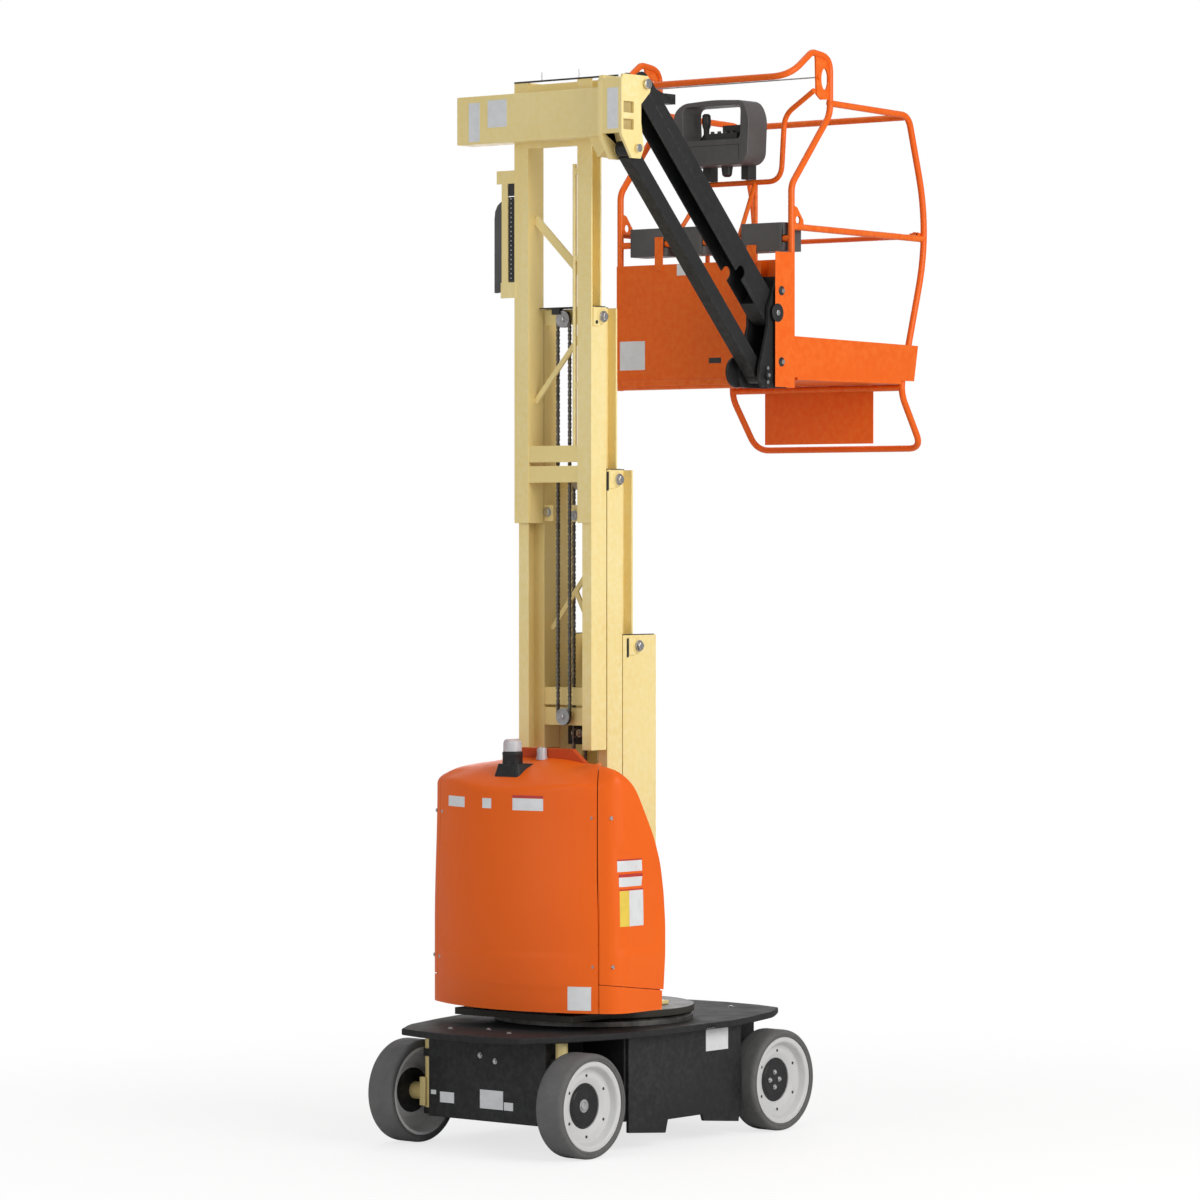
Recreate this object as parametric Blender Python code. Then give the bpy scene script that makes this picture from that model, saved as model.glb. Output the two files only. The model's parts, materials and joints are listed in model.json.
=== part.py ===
"""Vertical mast lift with a jib and a one-person platform, in metres.

+X is forward, towards the platform, +Y is left and +Z is up. Pieces are drawn about the slewing axis, and
at the end everything is moved so that the origin is on the ground under the middle of the machine. The
mast is modelled part raised and the jib part lowered, as the machine is shown.
"""

import math

import bmesh
import bpy
from mathutils import Matrix, Vector

# Driving dimensions
SLEW_TO_MIDDLE = 0.3995
WHEELBASE = 1.2
OVERALL_WIDTH = 0.99
TYRE_R = 0.203
TYRE_W = 0.127
WHEEL_X = WHEELBASE / 2
WHEEL_Y = (OVERALL_WIDTH - TYRE_W) / 2
RIM_R = 0.174
HUB_R = 0.088
KINGPIN_Y = 0.335
WHEEL_STEPS = 24

DECK_Z = 0.470
DECK_T = 0.026
BELLY_Z = 0.115
WELL_R = 0.350
FRAME_Y = 0.425
SKIRT_Y = 0.440
GAP = 0.0005

PLATE_Z0 = 0.503
PLATE_Z1 = 0.530
PLATE_R = 0.400
HOOD_Z0 = 0.545

SECTION_L = 1.740
PITCH = 0.098
COLUMN_Y = 0.187
WALL = 0.008
STAGE_4_Z = 0.257
STAGE_3_Z = 0.910
STAGE_2_Z = 1.548
STAGE_1_Z = 2.440
LIP_X = {2: -0.242, 3: -0.144, 4: -0.046}
CHAIN_Y = 0.030
CHAIN_T = 0.012
CHAIN_W = 0.014
CHAIN_REACH = 0.038

JIB_Y = -0.419
JIB_PLATE_GAP = 0.088
UPPER_PIN = (-0.260, 4.140)
LOWER_PIN = (-0.315, 3.889)
LINK = (0.823, -0.857)
PIN_R = 0.016
ARM_ROOM = 0.034

CAGE_Y = 0.445
CAGE_X0 = 0.710
CAGE_X1 = 1.468
CAGE_FLOOR_Z = 3.030
RAIL_R = 0.0135
PAN_TOP_Z = CAGE_FLOOR_Z + 0.004
SILL_Z = CAGE_FLOOR_Z - 0.012 - RAIL_R
BAR_PIVOT = (1.620, -0.405, 3.640)

ORANGE = ("orange paint", (0.84, 0.14, 0.012), 0.38, 0.0)
CREAM = ("cream paint", (0.86, 0.71, 0.36), 0.45, 0.0)
BLACK = ("black paint", (0.02, 0.02, 0.021), 0.45, 0.0)
GREY_RUBBER = ("grey rubber", (0.12, 0.12, 0.122), 0.8, 0.0)
RIM_PAINT = ("pale grey paint", (0.62, 0.62, 0.62), 0.45, 0.0)
PLASTIC = ("dark grey plastic", (0.075, 0.07, 0.072), 0.55, 0.0)
STEEL = ("bare steel", (0.55, 0.55, 0.56), 0.3, 1.0)
LENS = ("clear lens", (0.85, 0.85, 0.87), 0.15, 0.0)


def clear_scene():
    for obj in list(bpy.data.objects):
        bpy.data.objects.remove(obj, do_unlink=True)


def material(spec):
    name, colour, roughness, metallic = spec
    made = bpy.data.materials.get(name)
    if made is None:
        made = bpy.data.materials.new(name)
        made.use_nodes = True
        shader = made.node_tree.nodes["Principled BSDF"]
        shader.inputs["Base Color"].default_value = (*colour, 1.0)
        shader.inputs["Roughness"].default_value = roughness
        shader.inputs["Metallic"].default_value = metallic
    return made


def solid(name, bm, spec=None, origin=(0, 0, 0)):
    """An object from a bmesh in world coordinates, with its own origin at the given point."""
    bmesh.ops.recalc_face_normals(bm, faces=bm.faces)
    mesh = bpy.data.meshes.new(name)
    bmesh.ops.translate(bm, verts=bm.verts, vec=-Vector(origin))
    bm.to_mesh(mesh)
    bm.free()
    obj = bpy.data.objects.new(name, mesh)
    obj.location = origin
    bpy.context.collection.objects.link(obj)
    if spec:
        mesh.materials.append(material(spec))
    return obj


def box(name, x, y, z, spec=None):
    """A box between pairs of corners x, y and z."""
    bm = bmesh.new()
    size = Matrix.Diagonal((x[1] - x[0], y[1] - y[0], z[1] - z[0], 1))
    centre = Matrix.Translation((sum(x) / 2, sum(y) / 2, sum(z) / 2))
    bmesh.ops.create_cube(bm, size=1, matrix=centre @ size)
    return solid(name, bm, spec)


AXES = {"x": (1, 2, 0), "y": (0, 2, 1), "z": (0, 1, 2)}


def prism(name, outline, axis, low, high, spec=None):
    """An outline in the plane across the named axis, extruded from low to high along it."""
    a, b, along = AXES[axis]
    bm = bmesh.new()
    loops = []
    for level in (low, high):
        ring = []
        for p, q in outline:
            corner = [0.0, 0.0, 0.0]
            corner[a], corner[b], corner[along] = p, q, level
            ring.append(bm.verts.new(corner))
        bm.faces.new(ring)
        loops.append(ring)
    count = len(outline)
    for i in range(count):
        j = (i + 1) % count
        bm.faces.new((loops[0][i], loops[0][j], loops[1][j], loops[1][i]))
    return solid(name, bm, spec)


def turned(name, profile, centre, axis, spec=None, steps=32):
    """A closed profile of (radius, height) turned about an axis through centre. Radius 0 joins up."""
    a, b, along = AXES[axis]
    bm = bmesh.new()
    rings = []
    for radius, height in profile:
        if radius == 0:
            corner = list(centre)
            corner[along] += height
            rings.append([bm.verts.new(corner)])
            continue
        ring = []
        for i in range(steps):
            turn = 2 * math.pi * i / steps
            corner = list(centre)
            corner[a] += radius * math.cos(turn)
            corner[b] += radius * math.sin(turn)
            corner[along] += height
            ring.append(bm.verts.new(corner))
        rings.append(ring)
    for k, ring in enumerate(rings):
        other = rings[(k + 1) % len(rings)]
        if len(ring) == 1 and len(other) == 1:
            continue
        for i in range(steps):
            j = (i + 1) % steps
            if len(ring) == 1:
                bm.faces.new((ring[0], other[j], other[i]))
            elif len(other) == 1:
                bm.faces.new((ring[i], ring[j], other[0]))
            else:
                bm.faces.new((ring[i], ring[j], other[j], other[i]))
    return solid(name, bm, spec)


def disc(name, centre, radius, half, axis, spec=None, steps=24):
    """A plain cylinder of the given half length about its centre."""
    profile = [(0, -half), (radius, -half), (radius, half), (0, half)]
    return turned(name, profile, centre, axis, spec, steps)


def rod(name, start, end, radius, spec=None, steps=12):
    """A round bar between two points."""
    return tube(name, [start, end], radius, spec, steps)


def rounded(points, radii, steps=5, closed=False):
    """The polyline with an arc of each corner's own radius in place of the corner."""
    path = []
    count = len(points)
    pts = [Vector(p) for p in points]
    for i, corner in enumerate(pts):
        radius = radii[i]
        if radius == 0 or (not closed and i in (0, count - 1)):
            path.append(corner)
            continue
        back = pts[i - 1] - corner
        ahead = pts[(i + 1) % count] - corner
        angle = back.angle(ahead)
        reach = min(radius / math.tan(angle / 2), 0.49 * back.length, 0.49 * ahead.length)
        start = corner + back.normalized() * reach
        end = corner + ahead.normalized() * reach
        for k in range(steps + 1):
            t = k / steps
            path.append(start * (1 - t) ** 2 + corner * 2 * t * (1 - t) + end * t * t)
    return path


def tube(name, path, radius, spec=None, sides=8, closed=False):
    """A round bar swept along a path, with mitred joints between its pieces."""
    pts = [Vector(p) for p in path]
    count = len(pts)
    bm = bmesh.new()
    rings = []
    first = (pts[1] - pts[0]).normalized()
    normal = first.orthogonal().normalized()
    for i, point in enumerate(pts):
        before = (point - pts[i - 1]).normalized() if i or closed else first
        after = (pts[(i + 1) % count] - point).normalized() if i < count - 1 or closed else before
        tangent = (before + after).normalized()
        normal = (normal - tangent * normal.dot(tangent)).normalized()
        side = tangent.cross(normal)
        ring = []
        for k in range(sides):
            turn = 2 * math.pi * (k + 0.5) / sides
            ring.append(bm.verts.new(point + radius * (math.cos(turn) * normal + math.sin(turn) * side)))
        rings.append(ring)
    spans = count if closed else count - 1
    for i in range(spans):
        here = rings[i]
        there = rings[(i + 1) % count]
        for k in range(sides):
            m = (k + 1) % sides
            bm.faces.new((here[k], here[m], there[m], there[k]))
    if not closed:
        bm.faces.new(rings[0])
        bm.faces.new(rings[-1])
    return solid(name, bm, spec)


def combine(target, others, operation):
    """Applies one Boolean after another, and removes the helpers."""
    for other in others:
        cut = target.modifiers.new("cut", "BOOLEAN")
        cut.operation = operation
        cut.solver = "EXACT"
        cut.object = other
        bpy.context.view_layer.update()
        graph = bpy.context.evaluated_depsgraph_get()
        mesh = bpy.data.meshes.new_from_object(target.evaluated_get(graph))
        target.modifiers.clear()
        target.data = mesh
        bpy.data.objects.remove(other, do_unlink=True)
    return target


def union(target, *others):
    return combine(target, others, "UNION")


def minus(target, *others):
    return combine(target, others, "DIFFERENCE")


def common(target, *others):
    return combine(target, others, "INTERSECT")


def copy_of(obj, name):
    twin = obj.copy()
    twin.data = obj.data.copy()
    twin.name = name
    bpy.context.collection.objects.link(twin)
    return twin


def mirrored(obj, name):
    """A copy reflected across the machine's middle plane."""
    twin = copy_of(obj, name)
    flip = Matrix.Diagonal((1, -1, 1, 1))
    twin.data.transform(twin.matrix_basis)
    twin.matrix_basis = Matrix.Identity(4)
    twin.data.transform(flip)
    twin.data.flip_normals()
    return twin


def group(name, origin, objects, parent=None):
    """An empty on a joint's axis that carries a moving body's pieces."""
    empty = bpy.data.objects.new(name, None)
    empty.empty_display_size = 0.1
    bpy.context.collection.objects.link(empty)
    empty.location = origin
    if parent:
        bpy.context.view_layer.update()
        empty.parent = parent
        empty.matrix_parent_inverse = parent.matrix_world.inverted()
    bpy.context.view_layer.update()
    for obj in objects:
        obj.parent = empty
        obj.matrix_parent_inverse = empty.matrix_world.inverted()
    return empty


def both_sides(outline):
    """A half outline with y above 0, closed by its mirror image."""
    return outline + [(x, -y) for x, y in reversed(outline)]


# Chassis
FRAME_END_X = 0.655
FRAME_END_Y = 0.300
WAIST_X = 0.325


def chassis_frame():
    """The box frame, with narrow ends between the wheels and a round well for the mast's foot."""
    top = DECK_Z - DECK_T - GAP
    arch_x = 0.40
    half = [
        (-FRAME_END_X, FRAME_END_Y),
        (-0.56, FRAME_END_Y),
        (-arch_x, 0.215),
        (-WAIST_X - 0.005, 0.215),
        (-WAIST_X - 0.005, FRAME_Y),
        (0.385, FRAME_Y),
        (0.385, FRAME_END_Y),
        (FRAME_END_X, FRAME_END_Y),
    ]
    frame = prism("chassis_frame", both_sides(half), "z", BELLY_Z, top, BLACK)
    well = disc("well", (0, 0, 0.6), WELL_R, 0.6 - 0.225, "z", steps=36)
    return minus(frame, well)


def deck_plate():
    """The lid over the frame, wide at the waist and bulged at both ends, with the well's hole."""
    quarter = [
        (0.0, 0.495),
        (0.27, 0.495),
        (0.43, 0.460),
        (0.655, 0.395),
        (0.700, 0.372),
        (0.815, 0.300),
        (0.850, 0.180),
        (0.866, 0.0),
    ]
    half = [(-x, y) for x, y in reversed(quarter)] + quarter[1:]
    outline = half + [(x, -y) for x, y in reversed(half[1:-1])]
    deck = prism("deck_plate", outline, "z", DECK_Z - DECK_T, DECK_Z, BLACK)
    hole = disc("hole", (0, 0, DECK_Z), WELL_R, 0.1, "z", steps=36)
    return minus(deck, hole)


def side_skirt(side):
    """The flank panel between the wheels, stepped along its lower edge."""
    outline = [
        (-0.32, 0.072),
        (-0.09, 0.052),
        (-0.075, 0.103),
        (0.140, 0.103),
        (0.150, 0.077),
        (0.375, 0.055),
        (0.390, 0.150),
        (0.390, 0.4435),
        (-0.32, 0.4435),
    ]
    skirt = prism("side_skirt_right", outline, "y", -SKIRT_Y, -FRAME_Y - GAP, BLACK)
    return mirrored(skirt, "side_skirt_left") if side > 0 else skirt


def slew_ring():
    profile = [(0.352, 0.0005), (0.395, 0.0005), (0.395, 0.020), (0.380, 0.0325), (0.352, 0.0325)]
    return turned("slew_ring", profile, (0, 0, DECK_Z), "z", STEEL, steps=36)


def drive_motor(name, side):
    """The wheel motor and its flange, on the frame's end."""
    y0 = FRAME_END_Y + GAP
    profile = [(0, 0), (0.085, 0), (0.085, 0.02), (0.062, 0.03), (0.062, 0.122), (0, 0.122)]
    motor = turned(name, profile, (WHEEL_X, y0, TYRE_R), "y", BLACK, steps=20)
    return motor if side > 0 else swap(motor, name)


def swap(obj, name):
    """The mirror image of an object in its place."""
    obj.name = "old"
    twin = mirrored(obj, name)
    bpy.data.objects.remove(obj, do_unlink=True)
    return twin


# Wheels
def tyre(name, x, side):
    half = TYRE_W / 2
    bevel = 0.014
    profile = [
        (RIM_R + GAP, -half + 0.004),
        (TYRE_R - bevel, -half),
        (TYRE_R - 0.003, -half + 0.006),
        (TYRE_R, -half + bevel),
        (TYRE_R, half - bevel),
        (TYRE_R - 0.003, half - 0.006),
        (TYRE_R - bevel, half),
        (RIM_R + GAP, half - 0.004),
    ]
    return turned(name, profile, (x, side * WHEEL_Y, TYRE_R), "y", GREY_RUBBER, WHEEL_STEPS)


def rim(name, x, side):
    """The steel wheel: a flange, a dished disc set back from the outer face, and a barrel."""
    out = TYRE_W / 2 - 0.006
    profile = [
        (HUB_R + 0.0005, out - 0.052),
        (HUB_R + 0.0005, out - 0.040),
        (0.112, out - 0.030),
        (0.140, out - 0.034),
        (0.152, out - 0.004),
        (0.160, out),
        (RIM_R, out),
        (RIM_R, -out),
        (0.162, -out),
        (0.150, out - 0.050),
        (0.110, out - 0.042),
    ]
    made = turned(name, profile, (x, WHEEL_Y, TYRE_R), "y", RIM_PAINT, WHEEL_STEPS)
    return made if side > 0 else swap(made, name)


def hub(name, x, side, driven):
    """The hub disc with its bolts, seated in the rim's centre hole."""
    out = TYRE_W / 2 - 0.006
    face = out - 0.044
    profile = [(0, face - 0.022), (0.050, face - 0.022), (HUB_R, face - 0.012), (HUB_R, face), (0, face)]
    made = turned(name, profile, (x, WHEEL_Y, TYRE_R), "y", BLACK, WHEEL_STEPS)
    bolts = [(0.0, 0.0, 0.026)]
    if driven:
        bolts = [(dx, dz, 0.010) for dx, dz in ((0, 0.030), (0.030, 0), (0, -0.030), (-0.030, 0))]
    for dx, dz, radius in bolts:
        spot = (x + dx, WHEEL_Y + face, TYRE_R + dz)
        made = union(made, disc("bolt", spot, radius, 0.009, "y", steps=6))
    return made if side > 0 else swap(made, name)


def knuckle(name, side):
    """The kingpin post and, on its outer side, the stub axle that carries a steered wheel."""
    x = -WHEEL_X
    post = disc(name, (x, KINGPIN_Y, 0.290), 0.024, 0.148, "z", CREAM, steps=16)
    body = box("body", (x - 0.036, x + 0.036), (KINGPIN_Y, KINGPIN_Y + 0.030), (0.150, 0.262))
    axle = disc("axle", (x, KINGPIN_Y + 0.0525, TYRE_R), 0.034, 0.035, "y", steps=16)
    made = union(post, body, axle)
    return made if side > 0 else swap(made, name)


def kingpin_fork(name, side):
    """The fork on the frame's end that holds the kingpin above and below, rounded so the rim clears it."""
    x = -WHEEL_X
    inner = FRAME_END_Y + GAP
    nose_r = 0.030
    made = box(name, (x - nose_r, x + nose_r), (inner, inner + 0.004), (0.118, 0.375), BLACK)
    for low, high in ((0.118, 0.140), (0.345, 0.375)):
        plate = box("plate", (x - nose_r, x + nose_r), (inner, KINGPIN_Y), (low, high))
        nose = disc("nose", (x, KINGPIN_Y, (low + high) / 2), nose_r, (high - low) / 2, "z", steps=16)
        made = union(made, plate, nose)
    made = minus(made, disc("hole", (x, KINGPIN_Y, 0.28), 0.0252, 0.25, "z", steps=16))
    return made if side > 0 else swap(made, name)


# Turntable and hood
def turntable_plate():
    """The cream base plate, cut out for the mast, with the two cheeks that hold the fixed section."""
    plate = disc("turntable_plate", (0, 0, (PLATE_Z0 + PLATE_Z1) / 2), PLATE_R, 0.0135, "z", CREAM, 40)
    tail = box("tail", (-0.50, -0.25), (-0.30, 0.30), (PLATE_Z0, PLATE_Z1))
    slot = box("slot", (-0.285, 0.168), (-0.212, 0.212), (0.4, 0.7))
    plate = minus(union(plate, tail), slot)
    for side in (-1, 1):
        for x, reach in ((-0.450, (0.150, 0.210)), (-0.235, (0.252, 0.285))):
            lo, hi = sorted((side * reach[0], side * reach[1]))
            plate = union(plate, box("pad", (x - 0.035, x + 0.035), (lo, hi), (PLATE_Z1 - 0.005, HOOD_Z0 - GAP)))
    return plate


def mast_cheek(name, side):
    """A side plate on the turntable, welded to the fixed mast section's column."""
    outline = [(-0.035, PLATE_Z1 + GAP), (0.150, PLATE_Z1 + GAP), (0.150, 0.86), (0.02, 0.86), (-0.035, 0.70)]
    made = prism(name, outline, "y", COLUMN_Y + GAP, 0.206, CREAM)
    foot = box("foot", (-0.035, 0.150), (0.200, 0.262), (PLATE_Z1 + GAP, 0.545))
    made = union(made, foot)
    return made if side > 0 else swap(made, name)


HOOD_REAR_X = -0.585
HOOD_SIDE_Y = 0.485
HOOD_CORNER = 0.10
HOOD_FRONT_X = -0.300
SEAM_X = -0.460
SEAM_Y = 0.245
GUARD_ROOM = (-0.285, 0.325)


def hood_plan(inset=0.0, front=-0.10):
    """The hood's plan: a shallow arc at the rear, round corners and straight sides."""
    radius = 0.81 - inset
    centre = HOOD_REAR_X + 0.81
    side = HOOD_SIDE_Y - inset
    corner = HOOD_CORNER
    points = []
    reach = math.asin((side - corner) / (radius - corner))
    for k in range(7):
        turn = reach * k / 6
        points.append((centre - radius * math.cos(turn), radius * math.sin(turn)))
    middle = (centre - (radius - corner) * math.cos(reach), side - corner)
    for k in range(1, 6):
        turn = reach + (math.pi / 2 - reach) * k / 5
        points.append((middle[0] - corner * math.cos(turn), middle[1] + corner * math.sin(turn)))
    points.append((front, side))
    return [(x, -y) for x, y in reversed(points[1:])] + points


SIDE_EDGE = [
    (-0.152, HOOD_Z0),
    (-0.147, 0.636),
    (-0.134, 0.760),
    (-0.134, 0.875),
    (-0.146, 1.000),
    (-0.168, 1.115),
    (-0.210, 1.215),
    (-0.266, 1.303),
    (-0.330, 1.395),
    (-0.390, 1.455),
    (-0.477, 1.505),
]


def hood_form(name, inset, z0, z1):
    """The hood's outer form: its plan, its crown across and its profile along, all at once."""
    form = prism(name, hood_plan(inset), "z", z0, z1, ORANGE)
    crown = [(-0.6, 0.5), (-0.6, 1.30), (-0.485, 1.405), (-0.36, 1.462), (-0.20, 1.505), (0, 1.520)]
    crown = crown + [(-y, z) for y, z in reversed(crown[:-1])]
    across = prism("across", crown, "x", -0.8, 0.2)
    along = [(-0.70, 0.5), (-0.70, 1.330), (-0.585, 1.392), (-0.520, 1.440), (-0.420, 1.488), (-0.30, 1.522)]
    along = along + [(0.1, 1.522), (0.1, 0.5)]
    return common(form, across, prism("along", along, "y", -0.8, 0.8))


def hood_rear():
    """The rear cover, from the rounded corner seams over the top to the mast."""
    form = hood_form("hood_rear", 0.0, HOOD_Z0, 1.6)
    front = box("front", (HOOD_FRONT_X, 0.3), (-0.8, 0.8), (0.3, 1.8))
    form = minus(form, front)
    for side in (1, -1):
        lo, hi = sorted((side * SEAM_Y, side * 0.8))
        form = minus(form, box("seam", (SEAM_X, 0.3), (lo, hi), (0.3, 1.8)))
        lo, hi = sorted((side * 0.26, side * 0.38))
        form = union(form, box("joggle", (SEAM_X - 0.01, SEAM_X + 0.0035), (lo, hi), (0.56, 1.28)))
    return form


def hood_side(name, side):
    """A side cover, curved along its forward edge. Ahead of its back it is open to the mast, for the guard."""
    form = hood_form(name, 0.0, 0.641, 1.6)
    keep = box("keep", (SEAM_X + 0.004, 0.2), (SEAM_Y + 0.004, 0.8), (0.3, 1.8))
    edge = [(-0.8, HOOD_Z0)] + SIDE_EDGE + [(-0.8, 1.60)]
    form = common(form, keep, prism("edge", edge, "y", -0.8, 0.8))
    form = minus(form, box("room", (GUARD_ROOM[0], 0.2), (0.0, GUARD_ROOM[1]), (0.3, 1.8)))
    return form if side > 0 else swap(form, name)


def hood_skirt(name, side):
    """The strip under a side cover, set in a little from it."""
    form = prism(name, hood_plan(0.006), "z", HOOD_Z0, 0.637, ORANGE)
    keep = box("keep", (SEAM_X + 0.004, -0.158), (SEAM_Y + 0.004, 0.8), (0.3, 1.8))
    form = common(form, keep)
    form = union(form, box("joggle", (-0.43, -0.20), (0.27, 0.42), (0.63, 0.6405)))
    return form if side > 0 else swap(form, name)


def beacon(hood):
    """The beacon's bracket and base, shaped to the hood's slope, and its lens."""
    x, y = -0.452, 0.040
    base = disc("beacon_base", (x, y, 1.497), 0.040, 0.048, "z", BLACK, 20)
    foot = box("foot", (x - 0.055, x + 0.055), (y - 0.075, y + 0.055), (1.440, 1.500))
    below = copy_of(hood, "below")
    below.location.z += GAP
    base = minus(union(base, foot), below)
    profile = [(0, 0), (0.037, 0), (0.037, 0.036), (0.030, 0.048), (0, 0.052)]
    lens = turned("beacon_lens", profile, (x, y, 1.5455), "z", LENS, 20)
    return base, lens


# Mast
def column(section, z0, z1, x0, has_channel=True, has_rail=True):
    """One column: an open channel that takes the rail ahead of it, and its own rail behind."""
    top_y = COLUMN_Y
    pieces = []
    if has_channel:
        pieces.append(((x0, x0 + WALL), (0.140, top_y)))
        pieces.append(((x0, x0 + 0.092), (top_y - WALL, top_y)))
        pieces.append(((x0 + 0.084, x0 + 0.092), (0.125, top_y)))
    else:
        pieces.append(((x0 + 0.084, x0 + 0.092), (0.1265, 0.198)))
    if has_rail:
        pieces.append(((x0 + 0.090, x0 + 0.172), (0.125, 0.133)))
        pieces.append(((x0 + 0.168, x0 + 0.177), (0.125, 0.173)))
    made = None
    for x, y in pieces:
        wall = box("wall", x, y, (z0, z1))
        made = wall if made is None else union(made, wall)
    made.name = "column" + section
    return made


def cross_bar(x0, z0, z1, depth=0.030, reach=0.129):
    return box("bar", (x0 + 0.086, x0 + 0.086 + depth), (-reach, reach), (z0, z1))


def mast_section(name, z0, x0, bars, has_channel=True, has_rail=True, length=SECTION_L):
    """Two columns and the bars between them. bars lists each bar's lowest and highest z."""
    left = column("", z0, z0 + length, x0, has_channel, has_rail)
    right = swap(copy_of(left, "other"), "other")
    made = left
    made.name = name
    for low, high in bars:
        made = union(made, cross_bar(x0, low, high))
    made = union(made, right)
    made.data.materials.clear()
    made.data.materials.append(material(CREAM))
    return made


def fixed_section():
    """The section on the turntable: channels in front, and a back plate that closes it."""
    x0 = LIP_X[4]
    z1 = STAGE_4_Z + SECTION_L
    pieces = [
        ((x0, x0 + WALL), (0.140, COLUMN_Y)),
        ((x0, 0.161), (COLUMN_Y - WALL, COLUMN_Y)),
        ((0.153, 0.161), (0.110, COLUMN_Y)),
    ]
    left = None
    for x, y in pieces:
        wall = box("wall", x, y, (STAGE_4_Z, z1))
        left = wall if left is None else union(left, wall)
    left.name = "mast_section_4"
    right = swap(copy_of(left, "other"), "other")
    made = left
    for low, high in ((0.257, 0.275), (0.50, 0.62), (1.10, 1.20), (1.90, 1.985)):
        made = union(made, box("bar", (0.135, 0.159), (-0.130, 0.130), (low, high)))
    made = union(made, right)
    floor = box("floor", (0.040, 0.159), (-0.115, 0.115), (0.257, 0.272))
    made = union(made, floor)
    made.data.materials.clear()
    made.data.materials.append(material(CREAM))
    return made


def brace(x, y0, z0, y1, z1, width=0.020):
    """A flat diagonal between two columns, at its own depth in the mast."""
    along = Vector((0, y1 - y0, z1 - z0)).normalized()
    across = Vector((0, -along.z, along.y)) * width / 2
    start = Vector((0, y0, z0))
    end = Vector((0, y1, z1))
    outline = [start + across, start - across, end - across, end + across]
    return prism("brace", [(p.y, p.z) for p in outline], "x", x, x + 0.010)


def lift_chain(name, section, low, high):
    """A closed chain ahead of a section's bars, round a sheave at each end, with axles at low and high."""
    bar_x = LIP_X[section] + 0.086
    x1 = bar_x - CHAIN_REACH + CHAIN_W

    def loop(reach):
        points = []
        for centre, start in ((high, 0.0), (low, math.pi)):
            for k in range(7):
                turn = start + math.pi * k / 6
                points.append((reach * math.cos(turn), centre + reach * math.sin(turn)))
        return points

    made = prism(name, loop(CHAIN_Y + CHAIN_T / 2), "x", x1 - CHAIN_W, x1, STEEL)
    made = minus(made, prism("inside", loop(CHAIN_Y - CHAIN_T / 2), "x", x1 - 0.1, x1 + 0.1))
    for z in (low, high):
        axle = rod("axle", (x1 - CHAIN_W - 0.003, 0, z), (bar_x - GAP, 0, z), 0.009, None, 8)
        sheave = disc("sheave", (x1 - CHAIN_W / 2, 0, z), CHAIN_Y, 0.0045, "x", None, 14)
        made = union(made, union(axle, sheave))
    return made


def hose_guide():
    """The two brackets and the bar on the top section's left flange, that hold the hoses' guard."""
    flange = (-0.258, -0.2495)
    upper = box("upper", flange, (0.190, 0.289), (3.786, 3.838))
    lower = box("lower", flange, (0.190, 0.268), (3.333, 3.395))
    return union(upper, lower, box("bar", flange, (0.232, 0.263), (3.360, 3.800)))


def hose_guard():
    """The moulded cover behind the guide's bar, rounded off at its top."""
    outline = [(0.202, 3.365), (0.310, 3.355), (0.310, 3.650), (0.306, 3.680), (0.294, 3.703), (0.278, 3.715)]
    outline = outline + [(0.262, 3.724), (0.202, 3.724)]
    return prism("hose_guard", outline, "x", -0.2495 + GAP, -0.230, PLASTIC)


def lift_cylinder():
    """The barrel on the fixed section's floor, open at its top, and the rod to the third section."""
    x = 0.085
    z0 = 0.2725
    barrel = turned(
        "lift_barrel",
        [(0, 0), (0.040, 0), (0.040, 1.62), (0.030, 1.62), (0.030, 0.05), (0, 0.05)],
        (x, 0, z0),
        "z",
        BLACK,
        20,
    )
    top = STAGE_3_Z + SECTION_L - 0.061
    ram = turned("lift_rod", [(0, 0), (0.025, 0), (0.025, top - 1.15), (0, top - 1.15)], (x, 0, 1.15), "z", STEEL, 16)
    return barrel, ram


# Jib
def jib_beam():
    """The cross beam on the mast's top section."""
    beam = box("jib_beam", (-0.360, -0.2565), (-0.3555, 0.410), (3.940, 4.130), CREAM)
    foot = prism("foot", [(-0.3555, 3.941), (-0.3555, 3.90), (-0.30, 3.86), (-0.25, 3.941)], "x", -0.34, -0.2565)
    return union(beam, foot)


def jib_head():
    """The clevis on the beam's end. Its upper pin is in two halves, with room between them for the lower arm."""
    half = JIB_PLATE_GAP / 2
    outline = [
        (-0.408, 3.940),
        (-0.345, 3.850),
        (-0.290, 3.850),
        (-0.270, 3.890),
        (-0.287, 3.990),
        (-0.287, 4.060),
        (-0.232, 4.110),
        (-0.225, 4.150),
        (-0.245, 4.172),
        (-0.395, 4.172),
        (-0.408, 4.150),
    ]
    near = prism("jib_head", outline, "y", JIB_Y - half - 0.012, JIB_Y - half, CREAM)
    for z in (4.025, 4.088):
        near = minus(near, box("window", (-0.378, -0.336), (-0.6, -0.2), (z - 0.021, z + 0.021)))
    far = prism("far", outline, "y", JIB_Y + half, -0.356, CREAM)
    back = box("back", (-0.407, -0.385), (JIB_Y - half - 0.006, -0.360), (3.945, 4.16))
    made = union(near, far, back)
    low, high = JIB_Y - half - 0.024, JIB_Y + half + 0.018
    spans = [(LOWER_PIN, low, high), (UPPER_PIN, low, JIB_Y - ARM_ROOM), (UPPER_PIN, JIB_Y + ARM_ROOM, high)]
    for (x, z), y0, y1 in spans:
        made = union(made, disc("pin", (x, (y0 + y1) / 2, z), PIN_R, (y1 - y0) / 2, "y", steps=14))
    return made


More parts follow.
